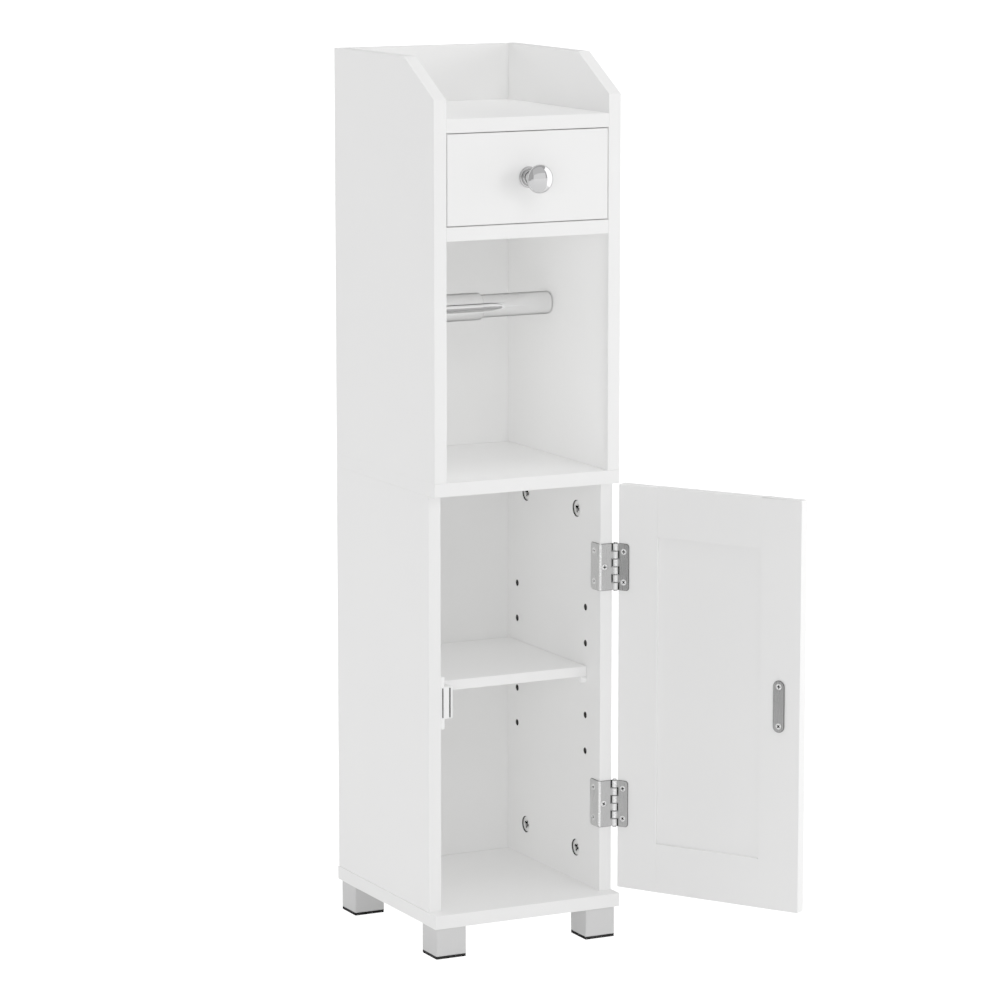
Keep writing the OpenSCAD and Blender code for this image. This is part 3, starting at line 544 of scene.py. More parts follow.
def ferrite():
    """Sintered ferrite magnet: charcoal and matt, with fine grit."""
    look = "#2b2b2b", "#3d3d3d", None, 0.03 * MM
    return grained("Sintered ferrite", 0.5 * MM, *look, detail=4, Roughness=0.75)


FINISHES = {}


def finish(maker, *args):
    """The material that a maker function gives, made once."""
    found = FINISHES.get(maker.__name__)
    if found is None:
        found = FINISHES[maker.__name__] = maker(*args)
    return found


def refinish(name, surface):
    """Gives a CAD node that stays in the scene its material; its shading stays as packed."""
    slots = frame["nodes"][name].material_slots
    for slot in slots:
        slot.material = surface
    if not slots:
        frame["nodes"][name].data.materials.append(surface)


# ---- Shapes ----


def knob_rows(size):
    """Knob about +Z from the drawer's front: flange with a stepped rim, waisted neck, head and dome.

    The profile joins straight runs with parts of ellipses, and is turned once round. The second result
    marks the flange's step, the foot of the neck and the head's rim, which are painted with darker chrome
    and a blackened line as shade and dark reflection.
    """
    r, base, neck = size.head / 2, size.flange / 2, size.neck / 2
    rim = size.height * 0.8
    parts = [
        [[0, 0.01 * MM], [base - 0.5 * MM, 0.01 * MM]],
        arc((base - 0.5 * MM, 0.51 * MM), (0.5 * MM, 0.5 * MM), -90, 90, 12),
        arc((base - 1.6 * MM, 1.3 * MM), (0.8 * MM, 0.7 * MM), -20, 90, 10),
        [[neck + 2.6 * MM, 2.3 * MM]],
        arc((neck + 2.6 * MM, 3.6 * MM), (2.0 * MM, 1.3 * MM), -90, -180, 12),
        arc((neck + 4.5 * MM, rim - 7 * MM), (4.5 * MM, 4.5 * MM), 180, 100, 14),
        [[r - 1.4 * MM, rim - 1.6 * MM]],
        arc((r - 0.7 * MM, rim - 0.7 * MM), (0.7 * MM, 0.7 * MM), -70, 40, 12),
        arc((0, rim - 0.3 * MM), (r - 0.1 * MM, size.height - rim + 0.3 * MM), 6, 90, 40),
    ]
    profile = np.concatenate(parts)
    steps = 128
    # faces painted as shade: darker chrome (1) and a blackened line (2)
    step, foot, rim_shade, rim_line = slice(13, 16), slice(24, 31), slice(52, 62), slice(56, 60)
    mark = np.zeros((len(profile) - 1, steps), int)
    mark[step] = mark[foot] = mark[rim_shade] = 1
    mark[rim_line] = 2
    return revolved(profile[:, 0], profile[:, 1], steps), mark


def cross_rows(radius, length, shank, arm, turn, slot, deepest, height):
    """Turned head with a cross about +Z, as on a screw or a cam, its rim just under z = 0.

    Head height: a low dome that falls off at the rim, less a cross. The cross is as deep as its
    slope allows wherever a point lies within half its width of either arm. The second result marks
    the faces inside the cross, which are painted black as the shade in the recess.
    """
    steps, wall, rim_from = 72, 0.12 * MM, 0.8
    r = radius * np.concatenate([np.linspace(0, rim_from, 22), np.linspace(0.84, 1, 7)])
    a = np.linspace(0, 2 * np.pi, steps, endpoint=False)
    out = r[:, None] / radius
    dome = height * (1 - out**2) - height * np.clip((out - rim_from) / (1 - rim_from), 0, 1) ** 2 * 1.4
    u, v = r[:, None] * np.cos(a + turn), r[:, None] * np.sin(a + turn)
    across = np.minimum(np.abs(u), np.abs(v))
    along = np.maximum(np.abs(u), np.abs(v))
    cut = np.clip((slot / 2 + wall - across) / wall, 0, 1) * np.clip((arm + wall - along) / wall, 0, 1)
    depth = deepest * np.clip(1 - (along / (arm * 1.5)) ** 2, 0, 1)
    z = dome - cut * depth
    head = np.stack([r[:, None] * np.cos(a), r[:, None] * np.sin(a), z], axis=-1)
    edge, point = z[-1].mean(), 2 * MM
    taper = [[radius, edge - 0.15 * MM], [shank, edge - 1.7 * MM], [shank, point - length]]
    body = np.concatenate([taper, arc((0, point - length), (shank, point), 0, -90, 5)])
    rows = np.concatenate([head, revolved(body[:, 0], body[:, 1], steps)])
    pairs = cut + np.roll(cut, -1, axis=1)
    mark = np.zeros((len(rows) - 1, steps), bool)
    mark[: len(r) - 1] = pairs[:-1] + pairs[1:] > 1.6
    return rows, mark


def slab_rows(low, high):
    """A thin flat strip as rings about Z: its lower and upper outline, each closed at its middle."""
    (x0, y0, z0), (x1, y1, z1) = low, high
    outline = np.array([[x0, y0], [x1, y0], [x1, y1], [x0, y1]])
    middle = outline.mean(axis=0) + 0 * outline
    plans = [middle, outline, outline, middle]
    heights = np.repeat([[z0], [z0], [z1], [z1]], 4, axis=1)
    return np.concatenate([plans, heights[..., None]], axis=2)


def pin_rows(radius, length, nose):
    """Round pin about +Z from z = -length to 0, with both ends rounded by a quarter ellipse."""
    back = arc((radius - nose, -length + nose), (nose, nose), -90, 0, 6)
    front = arc((radius - nose, -nose), (nose, nose), 0, 90, 6)
    ends = np.array([[0, -length], *back, *front, [0, 0]])
    return revolved(ends[:, 0], ends[:, 1], 40)


FRONT_POINTS = 25


def fluted_rows(x, radius, centre, cutter, spread_to):
    """Rings of a tube along X that has a lengthwise hollow at its front.

    At an angle a from the front the wall lies at the tube's radius, or at the near side of a cutting
    circle where that is closer: centre cos a - sqrt(cutter^2 - (centre sin a)^2). FRONT_POINTS of the
    points lie within spread_to of the front, so that the hollow's two edges are crisp.
    """
    x, radius, centre, cutter, half = (
        np.asarray(v, float)[:, None] for v in np.broadcast_arrays(x, radius, centre, cutter, spread_to)
    )
    inside = np.linspace(-1, 1, FRONT_POINTS)
    outside = np.linspace(0, 1, 73)[1:-1]
    a = np.concatenate([half * inside, half + (2 * np.pi - 2 * half) * outside], axis=1)
    under = cutter**2 - (centre * np.sin(a)) ** 2
    near = centre * np.cos(a) - np.sqrt(np.clip(under, 0, None))
    hollow = (under > 0) & (np.cos(a) > 0)
    r = np.where(hollow, np.minimum(radius, near), radius)
    return np.stack([np.broadcast_to(x, r.shape), -r * np.cos(a), -r * np.sin(a)], axis=-1)


def hollow_marks(rows, along):
    """Marks of a hollow's faces: 1 for painted shade on its lower side, 2 for a painted dark line along its
    upper edge.
    """
    upper_edge, lower_side = slice(0, 2), slice(11, FRONT_POINTS - 2)
    mark = np.zeros((len(rows) - 1, rows.shape[1]), int)
    mark[along, lower_side] = 1
    mark[along, upper_edge] = 2
    return mark


def edge_angle(radius, centre, cutter):
    """Angle from the front at which the cutting circle leaves a tube of this radius."""
    cosine = (radius**2 + centre**2 - cutter**2) / (2 * radius * centre)
    return np.arccos(np.clip(cosine, -1, math.cos(math.radians(0.4))))


def coil_rows(radius, wire, length, turns):
    """Compression spring along +X: a wire carried along a helix whose first and last turns lie flat."""
    t = np.linspace(0, 1, int(turns * 40))
    angle = 2 * np.pi * turns * t
    flat = 1.0 / turns
    rise = np.clip((t - flat) / (1 - 2 * flat), 0, 1)
    ends = np.clip(t / flat, 0, 1) + np.clip((t - 1 + flat) / flat, 0, 1)
    x = np.minimum(wire / 2 + rise * (length - 3 * wire) + wire * ends, length - wire / 2)
    path = np.stack([x, radius * np.cos(angle), radius * np.sin(angle)], axis=-1)
    ahead = np.gradient(path, axis=0)
    ahead /= np.linalg.norm(ahead, axis=1, keepdims=True)
    out = np.stack([np.zeros_like(x), np.cos(angle), np.sin(angle)], axis=-1)
    side = np.cross(ahead, out)
    b = np.linspace(0, 2 * np.pi, 10, endpoint=False)[None, :, None]
    rings = path[:, None] + wire / 2 * (np.cos(b) * out[:, None] + np.sin(b) * side[:, None])
    ends = [np.repeat(path[i][None, None], 10, axis=1) for i in (0, -1)]
    return np.concatenate([ends[0], rings, ends[1]])


# ---- Sizes and looks a user would change ----


def box_size(name):
    low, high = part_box(name)
    return high - low


def number(name, description, default, **more):
    """A setting that the panel shows."""
    return FloatProperty(name=name, description=description, default=default, **more)


def length(name, description, default):
    return number(name, description, default, unit="LENGTH")


def share(name, description, default):
    return number(name, description, default, subtype="FACTOR", min=0, max=1)


class BoardLook(bpy.types.PropertyGroup):
    edge: length("Edge radius", "Rounding of a board's edges", 0.5 * MM)
    joint: share("Door joint", "Share of the edge radius along the joints of the door's frame", 0.3)
    grain: length("Press grain", "Size of the film's grain", 0.9 * MM)
    grain_depth: length("Grain depth", "Depth of the film's grain", 0.006 * MM)
    roughness: share("Roughness", "Sheen of the film", 0.4)


class KnobSizes(bpy.types.PropertyGroup):
    head: length("Head", "Diameter of the knob's head", box_size("drawer_knob").x)
    height: length(
        "Height", "How far the knob stands out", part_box("drawer_front")[0].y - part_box("drawer_knob")[0].y
    )
    flange: length("Flange", "Diameter of the flange", 18.5 * MM)
    neck: length("Neck", "Diameter of the neck", 10 * MM)


class ScrewLook(bpy.types.PropertyGroup):
    slot: length("Slot", "Width of a cross's arm", 0.95 * MM)
    depth: length("Depth", "Depth of the cross", 1.1 * MM)
    dome: length("Dome", "Height of the head's dome", 0.25 * MM)


class RollBarSizes(bpy.types.PropertyGroup):
    sleeve: length("Sleeve", "Diameter of the sleeve", box_size("roll_bar_sleeve").z)
    tube: length("Tube", "Diameter of the tube", box_size("roll_bar_tube").z)
    flute: length("Flute", "Depth of the hollow along the bar", 2.3 * MM)
    cutter: length("Flute radius", "Radius of that hollow", 5 * MM)
    runout: length("Runout", "Length over which the hollow ends", 12 * MM)
    turns: IntProperty(name="Spring turns", description="Turns of the spring", default=8)


SOFTBOX, CARD = "Power of this softbox in watts", "Brightness of this card, which metals reflect"


class StudioLook(bpy.types.PropertyGroup):
    camera: FloatVectorProperty(
        name="Camera", description="Where the camera stands", default=(-1.693495, -3.386896, 1.011929),
        subtype="TRANSLATION", unit="LENGTH", precision=6,
    )
    azimuth: number("Azimuth", "Camera's turn about the cabinet", math.radians(-26.864), subtype="ANGLE")
    elevation: number("Elevation", "Camera's tilt down", math.radians(9.167), subtype="ANGLE")
    lens: number("Lens", "Focal length in millimetres", 156.01)
    flatness: number("Flatness", "How far the picture's tones are drawn together", 1.5)
    surround: number("Surround", "Strength of the white surround", 0.3)
    right: number("Right", SOFTBOX, 16.5)
    front_right: number("Front right", SOFTBOX, 12.0)
    front_high: number("Front high", SOFTBOX, 8.6)
    front_low: number("Front low", SOFTBOX, 0.1)
    front_left: number("Front left", SOFTBOX, 8.0)
    back_left: number("Back left", SOFTBOX, 16.6)
    top: number("Top", SOFTBOX, 14.3)
    bay: number("Bay", "Power of the small panel that fills the open bay", 0.0195)
    front_card: number("Front card", CARD, 0.68)
    high_card: number("High card", CARD, 0.42)
    left_card: number("Left card", CARD, 0.28)
    right_card: number("Right card", CARD, 1.6)


# ---- Operators ----

CARCASS = (
    "bottom_board", "mid_board", "divider_board", "top_shelf", "upper_left_side", "upper_right_side",
    "lower_back_panel", "upper_back_panel", "adjustable_shelf",
)
SHORT_EDGE = 4 * MM  # shorter edges of boards stay sharp
SLANT = 25  # degrees, below the turn at the sides' cut corners
DRILLED = ("lower_left_side", "lower_right_side")
DRAWER = ("drawer_front", "drawer_left_side", "drawer_right_side", "drawer_back", "drawer_bottom")
DOOR = ("door_hinge_stile", "door_free_stile", "door_top_rail", "door_bottom_rail", "door_panel")


class CABINET_OT_boards(bpy.types.Operator):
    """Carcass, shelf and drawer boards with rounded edges; in the drilled sides the hole walls are
    painted nearly black as shade
    """

    bl_idname = "cabinet.boards"
    bl_label = "Boards"

    def execute(self, context):
        look = context.scene.cabinet_boards
        board = look.edge, finish(faced_board, look), "white_board", SHORT_EDGE, SLANT
        for name in CARCASS + DRAWER:
            softened(name, *board)
        for name in DRILLED:
            # the hole walls take the core painted nearly black as shade
            softened(name, *board, second=finish(bored_core_painted_shade))
        return {"FINISHED"}


class CABINET_OT_door(bpy.types.Operator):
    """Door of two stiles, two rails and a sunk panel, rounded most along its outline"""

    bl_idname = "cabinet.door"
    bl_label = "Door"

    def execute(self, context):
        look = context.scene.cabinet_boards
        film = finish(faced_board, look)
        points = np.concatenate([closed(corners_of(frame["nodes"][name].data)) for name in DOOR])
        low, high = points.min(axis=0), points.max(axis=0)

        def weigh(middle):
            gap = np.minimum(np.abs(middle - low), np.abs(middle - high))[[0, 2]].min()
            return 1.0 if gap < HAIR else look.joint

        for name in DOOR:
            softened(name, look.edge, film, "white_board", SHORT_EDGE, SLANT, weigh=weigh)
        return {"FINISHED"}


CAM_CROSS = (3.7 * MM, 0.35, 3 * MM, 3 * MM)  # arm, turn in radians, width and depth
CAM_RIM = slice(25, 30)  # rows painted black as the shade in the gap round each cam


class CABINET_OT_joinery(bpy.types.Operator):
    """Cam locks, bolts, dowels and the screws between the two halves"""

    bl_idname = "cabinet.joinery"
    bl_label = "Joining fittings"

    def execute(self, context):
        grids, marks = [], []
        for low, high in loose_parts("cam_locks"):
            side = 1.0 if (low + high)[0] > 0 else -1.0
            face = np.array([low[0] if side > 0 else high[0], *((low + high) / 2)[1:]])
            radius, dome = (high[2] - low[2]) / 2, 0.2 * MM
            rows, mark = cross_rows(radius, high[0] - low[0], radius, *CAM_CROSS, dome)
            # the cam's outer ring is painted black as shade
            mark[CAM_RIM] = True
            rows[..., 2] -= dome
            grids.append(placed(rows, face, (-side, 0, 0)))
            marks.append(mark)
        # the cams' crosses and outer rings are painted black as shade
        zinc, dark = finish(cast_zinc), finish(blackened_steel_and_painted_shade)
        piece("cam_locks_cross", grids, zinc, "cabinet", "zinc", "cam_locks", others=[dark], marks=marks)
        for name in ("shelf_dowels", "back_dowels", "drawer_dowels"):
            refinish(name, finish(beech))
        for name in ("cam_bolts", "carcass_screws", "foot_screws", "drawer_knob_screw"):
            refinish(name, finish(zinc_plated_steel))
        return {"FINISHED"}


class CABINET_OT_feet(bpy.types.Operator):
    """Square feet with round corners, and the black pads under them"""

    bl_idname = "cabinet.feet"
    bl_label = "Feet"

    def execute(self, context):
        softened("feet", 0.25 * MM, finish(silver_abs), "silver_plastic")
        softened("foot_pads", 0.1 * MM, finish(black_pad), "black_pad")
        return {"FINISHED"}


class CABINET_OT_shelf_pins(bpy.types.Operator):
    """Four round pins under the adjustable shelf"""

    bl_idname = "cabinet.shelf_pins"
    bl_label = "Shelf pins"

    def execute(self, context):
        grids = []
        for low, high in loose_parts("shelf_pins"):
            side = 1.0 if (low + high)[0] > 0 else -1.0
            inner = np.array([low[0] if side > 0 else high[0], *((low + high) / 2)[1:]])
            length, radius = high[0] - low[0], (high[2] - low[2]) / 2
            grids.append(placed(pin_rows(radius, length, 0.7 * MM), inner, (-side, 0, 0)))
        look = finish(moulded_white), "cabinet", "white_plastic"
        piece("shelf_pins_turned", grids, *look, "shelf_pins")
        return {"FINISHED"}


class CABINET_OT_knob(bpy.types.Operator):
    """Turned knob on the drawer"""

    bl_idname = "cabinet.knob"
    bl_label = "Drawer knob"

    def execute(self, context):
        low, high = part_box("drawer_knob")
        middle = (low + high) / 2
        origin = (middle.x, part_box("drawer_front")[0].y, middle.z)
        rows, mark = knob_rows(context.scene.cabinet_knob)
        grids, look = [placed(rows, origin, (0, -1, 0))], finish(polished_chrome)
        shades = {"others": [finish(painted_shade_chrome), finish(blackened_steel_and_painted_shade)], "marks": [mark]}
        piece("drawer_knob_turned", grids, look, "drawer", "chrome", "drawer_knob", **shades)
        return {"FINISHED"}


SHANK, SEAT = 1.5 * MM, 0.15 * MM  # a small screw's radius below its head, and its head's play


class CABINET_OT_screws(bpy.types.Operator):
    """Cross-head screws of the hinges, the strike plate and the catch"""

    bl_idname = "cabinet.screws"
    bl_label = "Small screws"

    def crosses(self, look, name, outward, turn, swing):
        """Grid and marks of each screw of a node whose head looks outward."""
        outward = np.asarray(outward, float)
        for k, (low, high) in enumerate(loose_parts(name)):
            size = high - low
            if np.argmax(size) != np.argmax(np.abs(outward)):
                continue
            radius = np.sort(size)[:2].mean() / 2 - SEAT
            top = np.where(outward > 0, high, np.where(outward < 0, low, (low + high) / 2))
            sizes = look.slot, look.depth, look.dome
            rows, mark = cross_rows(radius, size.max(), SHANK, radius * 0.6, turn + k * 0.9, *sizes)
            rows[..., 2] -= look.dome
            yield placed(rows, top, outward, swing), mark

    def execute(self, context):
        look = context.scene.cabinet_screws
        # the heads are painted nearly white as highlight, their crosses black as shade
        bright, dark = finish(bright_zinc), finish(blackened_steel_and_painted_shade)
        for name, body, ways in (
            ("hinge_cabinet_screws", "cabinet", [((-1, 0, 0), 0.5), ((0, -1, 0), 0.2)]),
            ("hinge_door_screws", "door", [((0, 1, 0), 0.4)]),
            ("strike_screws", "door", [((0, 1, 0), 0.7)]),
            ("catch_screws", "cabinet", [((1, 0, 0), 0.7)]),
        ):
            made = [cross for way in ways for cross in self.crosses(look, name, *way, body == "door")]
            grids, marks = zip(*made)
            # the crosses are painted black as the shade in their recesses
            piece(name + "_cross", grids, bright, body, "steel", name, others=[dark], marks=marks)
        return {"FINISHED"}


BARREL, KNUCKLES = 4.6 * MM, 6  # the knuckles' diameter and how many there are
CORNER = 4 * MM  # how far from the leaf's front its bend may lie
GAP_WIDTH, GAP_FACE, GAP_DEPTH = 1.45 * MM, 1.0 * MM, 0.7 * MM  # of the dark strips beside them, painted shade in the slots


class CABINET_OT_hinges(bpy.types.Operator):
    """Wrap-round hinge leaves, their knuckles and pins, and dark strips painted as shade beside the knuckles
    """

    bl_idname = "cabinet.hinges"
    bl_label = "Hinges"

    def execute(self, context):
        def knuckle(centres, *rest):
            return np.hypot(*(centres - HINGE_AXIS)[:, :2].T) < (BARREL + HAIR) / 2

        sheet, highlit, dark = finish(nickelled_steel), finish(highlit_nickel), finish(blackened_steel_and_painted_shade)
        gaps = {"cabinet": [], "door": []}
        for place in ("upper", "lower"):
            low, high = (np.array(corner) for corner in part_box(f"{place}_hinge_cabinet_leaf"))
            step = (high[2] - low[2]) / KNUCKLES

            def bend(middle):
                return abs(middle[0] - low[0]) < HAIR / 2 and middle[1] < low[1] + CORNER

            for leaf, rolled in (("cabinet", bend), ("door", None)):
                name = f"{place}_hinge_{leaf}_leaf"
                # the knuckles and the bend take nickel whitened as a painted highlight
                shades = {"second": highlit, "chosen": knuckle, "rolled": rolled, "rim": dark}
                # the leaves' rounded edges take blackened steel as a painted dark outline of shade
                softened(name, 0.36 * MM, sheet, "steel", **shades)
            refinish(f"{place}_hinge_pin", finish(zinc_plated_steel))
            # dark strips stand beside the knuckles as painted shade
            for row in range(KNUCKLES):
                leaf = "door" if row % 2 else "cabinet"
                side = 1 if leaf == "cabinet" else -1
                front, back = sorted(HINGE_AXIS[1] + side * np.array([GAP_FACE, GAP_FACE - GAP_DEPTH]))
                top, barrel = high[2] - row * step, HINGE_AXIS[0] - BARREL / 2
                strip = slab_rows((barrel - GAP_WIDTH, front, top - step), (barrel + HAIR, back, top))
                if leaf == "door":
                    strip = turned(strip.reshape(-1, 3), DOOR_TURN).reshape(strip.shape)
                gaps[leaf].append(strip)
        for leaf, grids in gaps.items():
            piece(f"hinge_gap_strips_{leaf}", grids, dark, leaf, "dark_steel")
        return {"FINISHED"}


class CABINET_OT_catch(bpy.types.Operator):
    """Magnetic catch on the left side and the strike plate on the door"""

    bl_idname = "cabinet.catch"
    bl_label = "Catch"

    def execute(self, context):
        softened("catch_housing", 0.35 * MM, finish(moulded_white), "white_plastic", shortest=1 * MM)
        softened("catch_pole_plates", 0.15 * MM, finish(blackened_steel_and_painted_shade), "dark_steel")
        # the strike plate's rounded edges take blackened steel as painted shade
        softened("strike_plate", 0.4 * MM, finish(nickelled_steel), "steel", rim=finish(blackened_steel_and_painted_shade))
        refinish("catch_magnet", finish(ferrite))
        return {"FINISHED"}


class CABINET_OT_roll_bar(bpy.types.Operator):
    """Fluted sleeve and tube of the roll bar, and the spring that presses them apart"""

    bl_idname = "cabinet.roll_bar"
    bl_label = "Roll bar"

    def execute(self, context):
        size = context.scene.cabinet_roll_bar
        chrome = finish(satin_chrome)
        # the hollow's marked faces take darker chrome and blackened steel as painted shade
        shades = {"others": [finish(painted_shade_chrome), finish(blackened_steel_and_painted_shade)]}
        low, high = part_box("roll_bar_sleeve")
        axis = np.array([0, (low.y + high.y) / 2, (low.z + high.z) / 2])
        nub, nub_length, chamfer = 4 * MM, 5 * MM, 0.6 * MM
        lip, play, web = 0.35 * MM, 0.08 * MM, 2.5 * MM
        r = size.sleeve / 2
        left, right = low.x + nub_length, high.x
        bore, deep = size.tube / 2 + play, left + web
        out, wider = r - size.flute + size.cutter, size.cutter + 1.2 * MM
        run = np.linspace(left + chamfer, right - lip, 24)
        x = [low.x, low.x, left, left, left + chamfer, *run, right, right, deep, deep]
        radius = [0, nub, nub, r - chamfer, r, *[r] * len(run), r - lip, bore + 0.2 * MM, bore, 0]
        outside = len(run) + 6
        cutter = [size.cutter] * outside + [size.cutter + 1.0 * MM] + [wider] * 2
        half = [edge_angle(r, out, size.cutter)] * outside + [edge_angle(bore, out, wider)] * 3
        rows = fluted_rows(x, radius, out, cutter, half) + axis
        mark = hollow_marks(rows, range(3, outside - 1))
        name = "roll_bar_sleeve"
        look = chrome, "bar_sleeve", "satin_chrome", name
        piece(name + "_fluted", [rows], *look, marks=[mark], **shades)

        low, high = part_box("roll_bar_tube")
        travel = JOINTS["bar_press"]["range_m"][1]
        r = size.tube / 2
        end, bore, soft = high.x - nub_length, r - size.flute - 1.5 * MM, 2.5 * MM
        full = right + travel
        bend = arc((r - soft, end - soft), (soft, soft), 0, 90, 10)
        fluted = np.concatenate(
            [np.linspace(low.x, full, 12), np.linspace(full, full + size.runout, 33)[1:], [end - soft]]
        )
        depth = size.flute * np.clip(1 - (fluted - full) / size.runout, 0, 1)
        x = np.concatenate([[end - 4.5 * MM] * 2, [low.x], fluted, bend[:, 1], [end, high.x, high.x]])
        radius = np.concatenate([[0, bore, bore], [r] * len(fluted), bend[:, 0], [nub, nub, 0]])
        depth = np.concatenate([[size.flute] * 3, depth, np.zeros(len(bend) + 3)])
        out = r - depth + size.cutter
        rows = fluted_rows(x, radius, out, size.cutter, edge_angle(r, out, size.cutter)) + axis
        mark = hollow_marks(rows, np.flatnonzero(depth[:-1] > 0.3 * MM))
        name = "roll_bar_tube"
        look = chrome, "bar_tube", "satin_chrome", name
        piece(name + "_fluted", [rows], *look, marks=[mark], **shades)

        low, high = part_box("roll_bar_spring")
        wire = 1.2 * MM
        rows = coil_rows((high.z - low.z) / 2 - wire / 2, wire, high.x - low.x, size.turns)
        rows, look, name = rows + axis + [low.x, 0, 0], finish(blackened_steel_and_painted_shade), "roll_bar_spring"
        spring = piece(name + "_coil", [rows], look, "bar_sleeve", "dark_steel", name)
        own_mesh(spring)
        return {"FINISHED"}


def softbox(name, power, place, target, size):
    """A soft area light at place that faces target, which neither the camera nor a gloss sees."""
    light = bpy.data.lights.new(name, "AREA")
    light.energy = power
    light.shape = "RECTANGLE"
    light.size, light.size_y = size
    obj = bpy.data.objects.new(name, light)
    obj.location = place
    obj.rotation_euler = (Vector(target) - Vector(place)).to_track_quat("-Z", "Y").to_euler()
    obj.visible_camera = obj.visible_glossy = False
    bpy.context.scene.collection.objects.link(obj)


def plain_sheet(name, corners, surface):
    """A flat four-cornered sheet of the studio."""
    mesh = bpy.data.meshes.new(name)
    mesh.from_pydata(corners, [], [(0, 1, 2, 3)])
    mesh.materials.append(surface)
    obj = bpy.data.objects.new(name, mesh)
    bpy.context.scene.collection.objects.link(obj)
    obj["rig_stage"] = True
    return obj


def glowing(name, strength, **more):
    """A white glow over a surface."""
    glow = {"Emission_Color": srgb("#ffffff"), "Emission_Strength": strength}
    return material(name, **glow, **more)[0]


OVERLIT = 1.2  # strength at which the floor and the surround are seen as pure white
FLOOR_REACH = 30
AIM = (0.03, -0.05, 0.42)  # the point that the softboxes face
SHIFT = (0.00147, -0.01766)  # of the picture against the camera's axis, in picture widths
SENSOR_WIDTH = 36  # millimetres
FAR_CLIP = 200
BOUNCES = 12  # of light between white boards


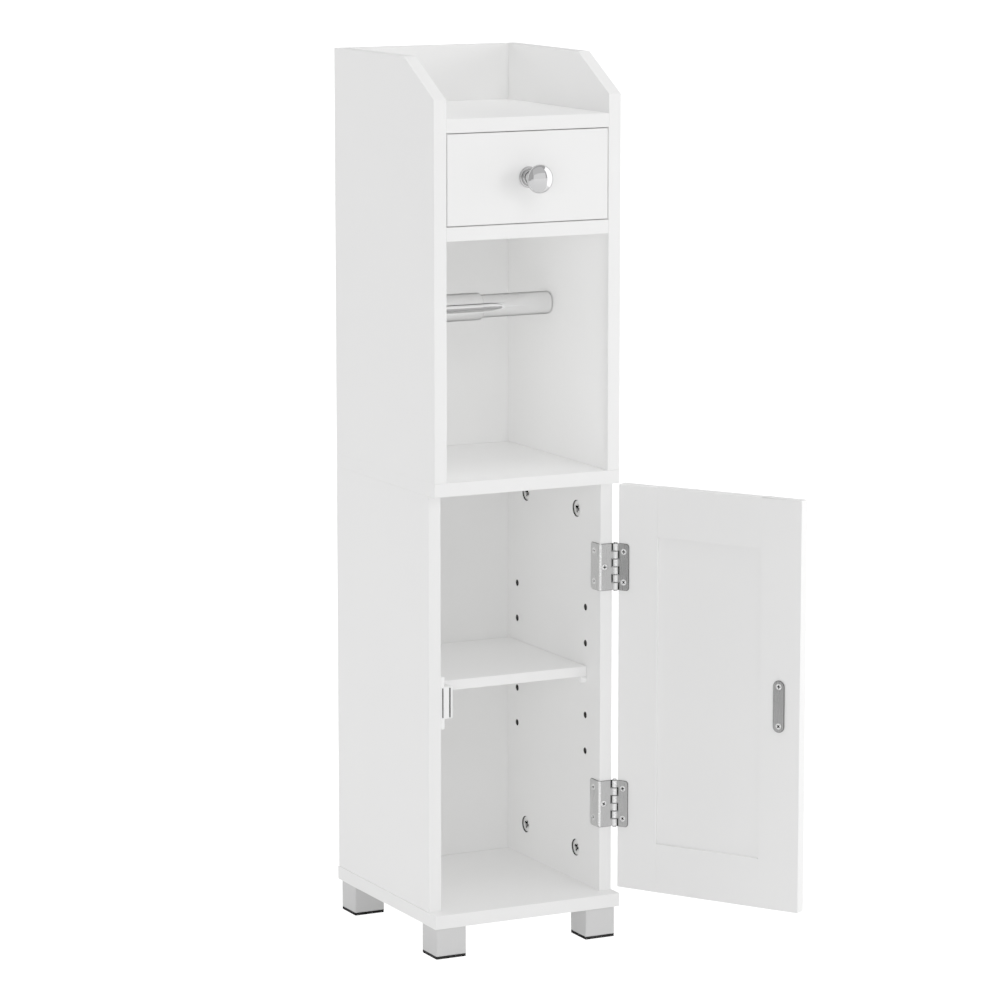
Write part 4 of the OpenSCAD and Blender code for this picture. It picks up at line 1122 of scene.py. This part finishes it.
class CABINET_OT_studio(bpy.types.Operator):
    """White floor and surround, soft lights, grey cards that the metals reflect, and the camera"""

    bl_idname = "cabinet.studio"
    bl_label = "Studio"

    def floor(self):
        """Paper that takes light and shadow, and just under it a bright sheet for the camera alone."""
        paper, tree, shader = material("White background paper", Roughness=0.9)
        tint(tree, shader, pattern(tree, 3 * MM), "#fbfbfb", "#fdfdfd")
        lit = glowing("Overlit background paper", OVERLIT, Roughness=0.9)
        far = FLOOR_REACH
        for name, surface, z in (("floor", paper, 0), ("floor_seen", lit, -0.5 * MM)):
            corners = [(-far, -far, z), (far, -far, z), (far, far, z), (-far, far, z)]
            sheet = plain_sheet(name, corners, surface)
            sheet.visible_camera = surface is lit
            sheet.visible_diffuse = sheet.visible_glossy = sheet.visible_shadow = surface is paper

    def surround(self, look):
        """An even white world, seen brighter than it lights."""
        world = bpy.data.worlds.new("White surround")
        world.use_nodes = True
        tree = world.node_tree
        even = tree.nodes["Background"]
        even.inputs["Color"].default_value = srgb("#ffffff")
        even.inputs["Strength"].default_value = look.surround
        seen = node(tree, "ShaderNodeBackground", [("Color", srgb("#ffffff")), ("Strength", OVERLIT)])
        ray = node(tree, "ShaderNodeLightPath").outputs["Is Camera Ray"]
        both = node(tree, "ShaderNodeMixShader", [(0, ray), (1, even.outputs[0]), (2, seen.outputs[0])])
        tree.links.new(both.outputs[0], tree.nodes["World Output"].inputs["Surface"])
        bpy.context.scene.world = world

    def lights(self, look):
        for name, place, size in (
            ("right", (2.2, -0.5, 0.7), (1.4, 1.8)),
            ("front_right", (1.6, -2.2, 1.2), (1.2, 1.2)),
            ("front_high", (0.0, -2.4, 2.2), (1.4, 1.2)),
            ("front_low", (0.0, -2.6, 0.4), (1.4, 0.7)),
            ("front_left", (-1.8, -2.0, 0.8), (1.2, 1.2)),
            ("back_left", (-2.2, 1.4, 0.8), (1.4, 1.4)),
            ("top", (0, -0.1, 2.6), (1.6, 1.6)),
        ):
            softbox(name + "_softbox", getattr(look, name), place, AIM, size)
        low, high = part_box("upper_right_side")
        shelf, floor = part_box("divider_board")[0].z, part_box("mid_board")[1].z
        inside = Vector((0, (low.y + high.y) / 2, (shelf + floor) / 2))
        size = low.x * 1.8, shelf - floor - 20 * MM
        softbox("bay_panel", look.bay, (0, low.y + 5 * MM, inside.z), inside, size)

    def cards(self, look):
        """Glowing cards that only a gloss sees, so that the metals have something to show."""
        front = [(-0.9, -2.4, 0), (1.6, -2.0, 0), (1.6, -2.0, 1.5), (-0.9, -2.4, 1.5)]
        high = [(-1.2, -2.4, 1.5), (1.6, -2.0, 1.5), (1.0, -0.6, 3), (-1.2, -0.6, 3)]
        low = [(-0.9, -2.3, 0.6), (-0.3, -0.115, 0.6), (0.02, -0.115, 0.6), (2.1, -2.2, 0.6)]
        left = [(-0.7, -0.9, 0), (-0.7, 0.6, 0), (-0.7, 0.6, 1.2), (-0.7, -0.9, 1.2)]
        right = [(1.2, -1.2, 0), (1.2, 0.8, 0), (1.2, 0.8, 1.8), (1.2, -1.2, 1.8)]
        for name, strength, corners in (
            ("front_card", look.front_card, front),
            ("high_card", look.high_card, high),
            ("low_card", look.front_card, low),
            ("left_card", look.left_card, left),
            ("right_card", look.right_card, right),
        ):
            surface = glowing("Lit card " + name, strength, Base_Color=srgb("#000000"))
            card = plain_sheet(name, corners, surface)
            card.visible_camera = card.visible_diffuse = card.visible_shadow = False

    def camera(self, look):
        camera = bpy.data.cameras.new("Camera")
        camera.lens, camera.sensor_width, camera.clip_end = look.lens, SENSOR_WIDTH, FAR_CLIP
        camera.shift_x, camera.shift_y = SHIFT
        obj = bpy.data.objects.new("Camera", camera)
        a, e = look.azimuth, look.elevation
        back = Vector((math.sin(a) * math.cos(e), -math.cos(a) * math.cos(e), math.sin(e)))
        obj.location = look.camera
        obj.rotation_euler = (-back).to_track_quat("-Z", "Y").to_euler()
        bpy.context.scene.collection.objects.link(obj)
        bpy.context.scene.camera = obj

    def execute(self, context):
        look = context.scene.cabinet_studio
        context.scene.view_settings.view_transform = "Standard"
        context.scene.view_settings.gamma = look.flatness
        context.scene.cycles.diffuse_bounces = BOUNCES
        self.floor()
        self.surround(look)
        self.lights(look)
        self.cards(look)
        self.camera(look)
        return {"FINISHED"}


class CABINET_PT_build(bpy.types.Panel):
    """Lists the cabinet's pieces in the order in which they are built"""

    bl_idname = "CABINET_PT_build"
    bl_label = "Toilet roll cabinet"
    bl_space_type = "VIEW_3D"
    bl_region_type = "UI"
    bl_category = "Cabinet"

    def draw(self, context):
        for operator in OPERATORS:
            self.layout.operator(operator.bl_idname)
        for group in GROUPS:
            box = self.layout.box()
            settings = getattr(context.scene, group)
            for key in settings.bl_rna.properties.keys():
                if key not in ("rna_type", "name"):
                    box.prop(settings, key)


OPERATORS = (
    CABINET_OT_boards,
    CABINET_OT_door,
    CABINET_OT_joinery,
    CABINET_OT_feet,
    CABINET_OT_shelf_pins,
    CABINET_OT_knob,
    CABINET_OT_hinges,
    CABINET_OT_screws,
    CABINET_OT_catch,
    CABINET_OT_roll_bar,
    CABINET_OT_studio,
)
GROUPS = {
    "cabinet_boards": BoardLook,
    "cabinet_knob": KnobSizes,
    "cabinet_screws": ScrewLook,
    "cabinet_roll_bar": RollBarSizes,
    "cabinet_studio": StudioLook,
}


def register():
    for made in (*GROUPS.values(), *OPERATORS, CABINET_PT_build):
        bpy.utils.register_class(made)
    for name, group in GROUPS.items():
        setattr(bpy.types.Scene, name, PointerProperty(type=group))


def unregister():
    for name in GROUPS:
        delattr(bpy.types.Scene, name)
    for made in (CABINET_PT_build, *OPERATORS, *GROUPS.values()):
        bpy.utils.unregister_class(made)


def main():
    register()
    for operator in OPERATORS:
        getattr(bpy.ops.cabinet, operator.bl_idname.partition(".")[2])()
    boxes = {"cad": cad_box, "visual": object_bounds()}
    {key: [list(corner) for corner in box] for key, box in boxes.items()}


if __name__ == "__main__":
    main()
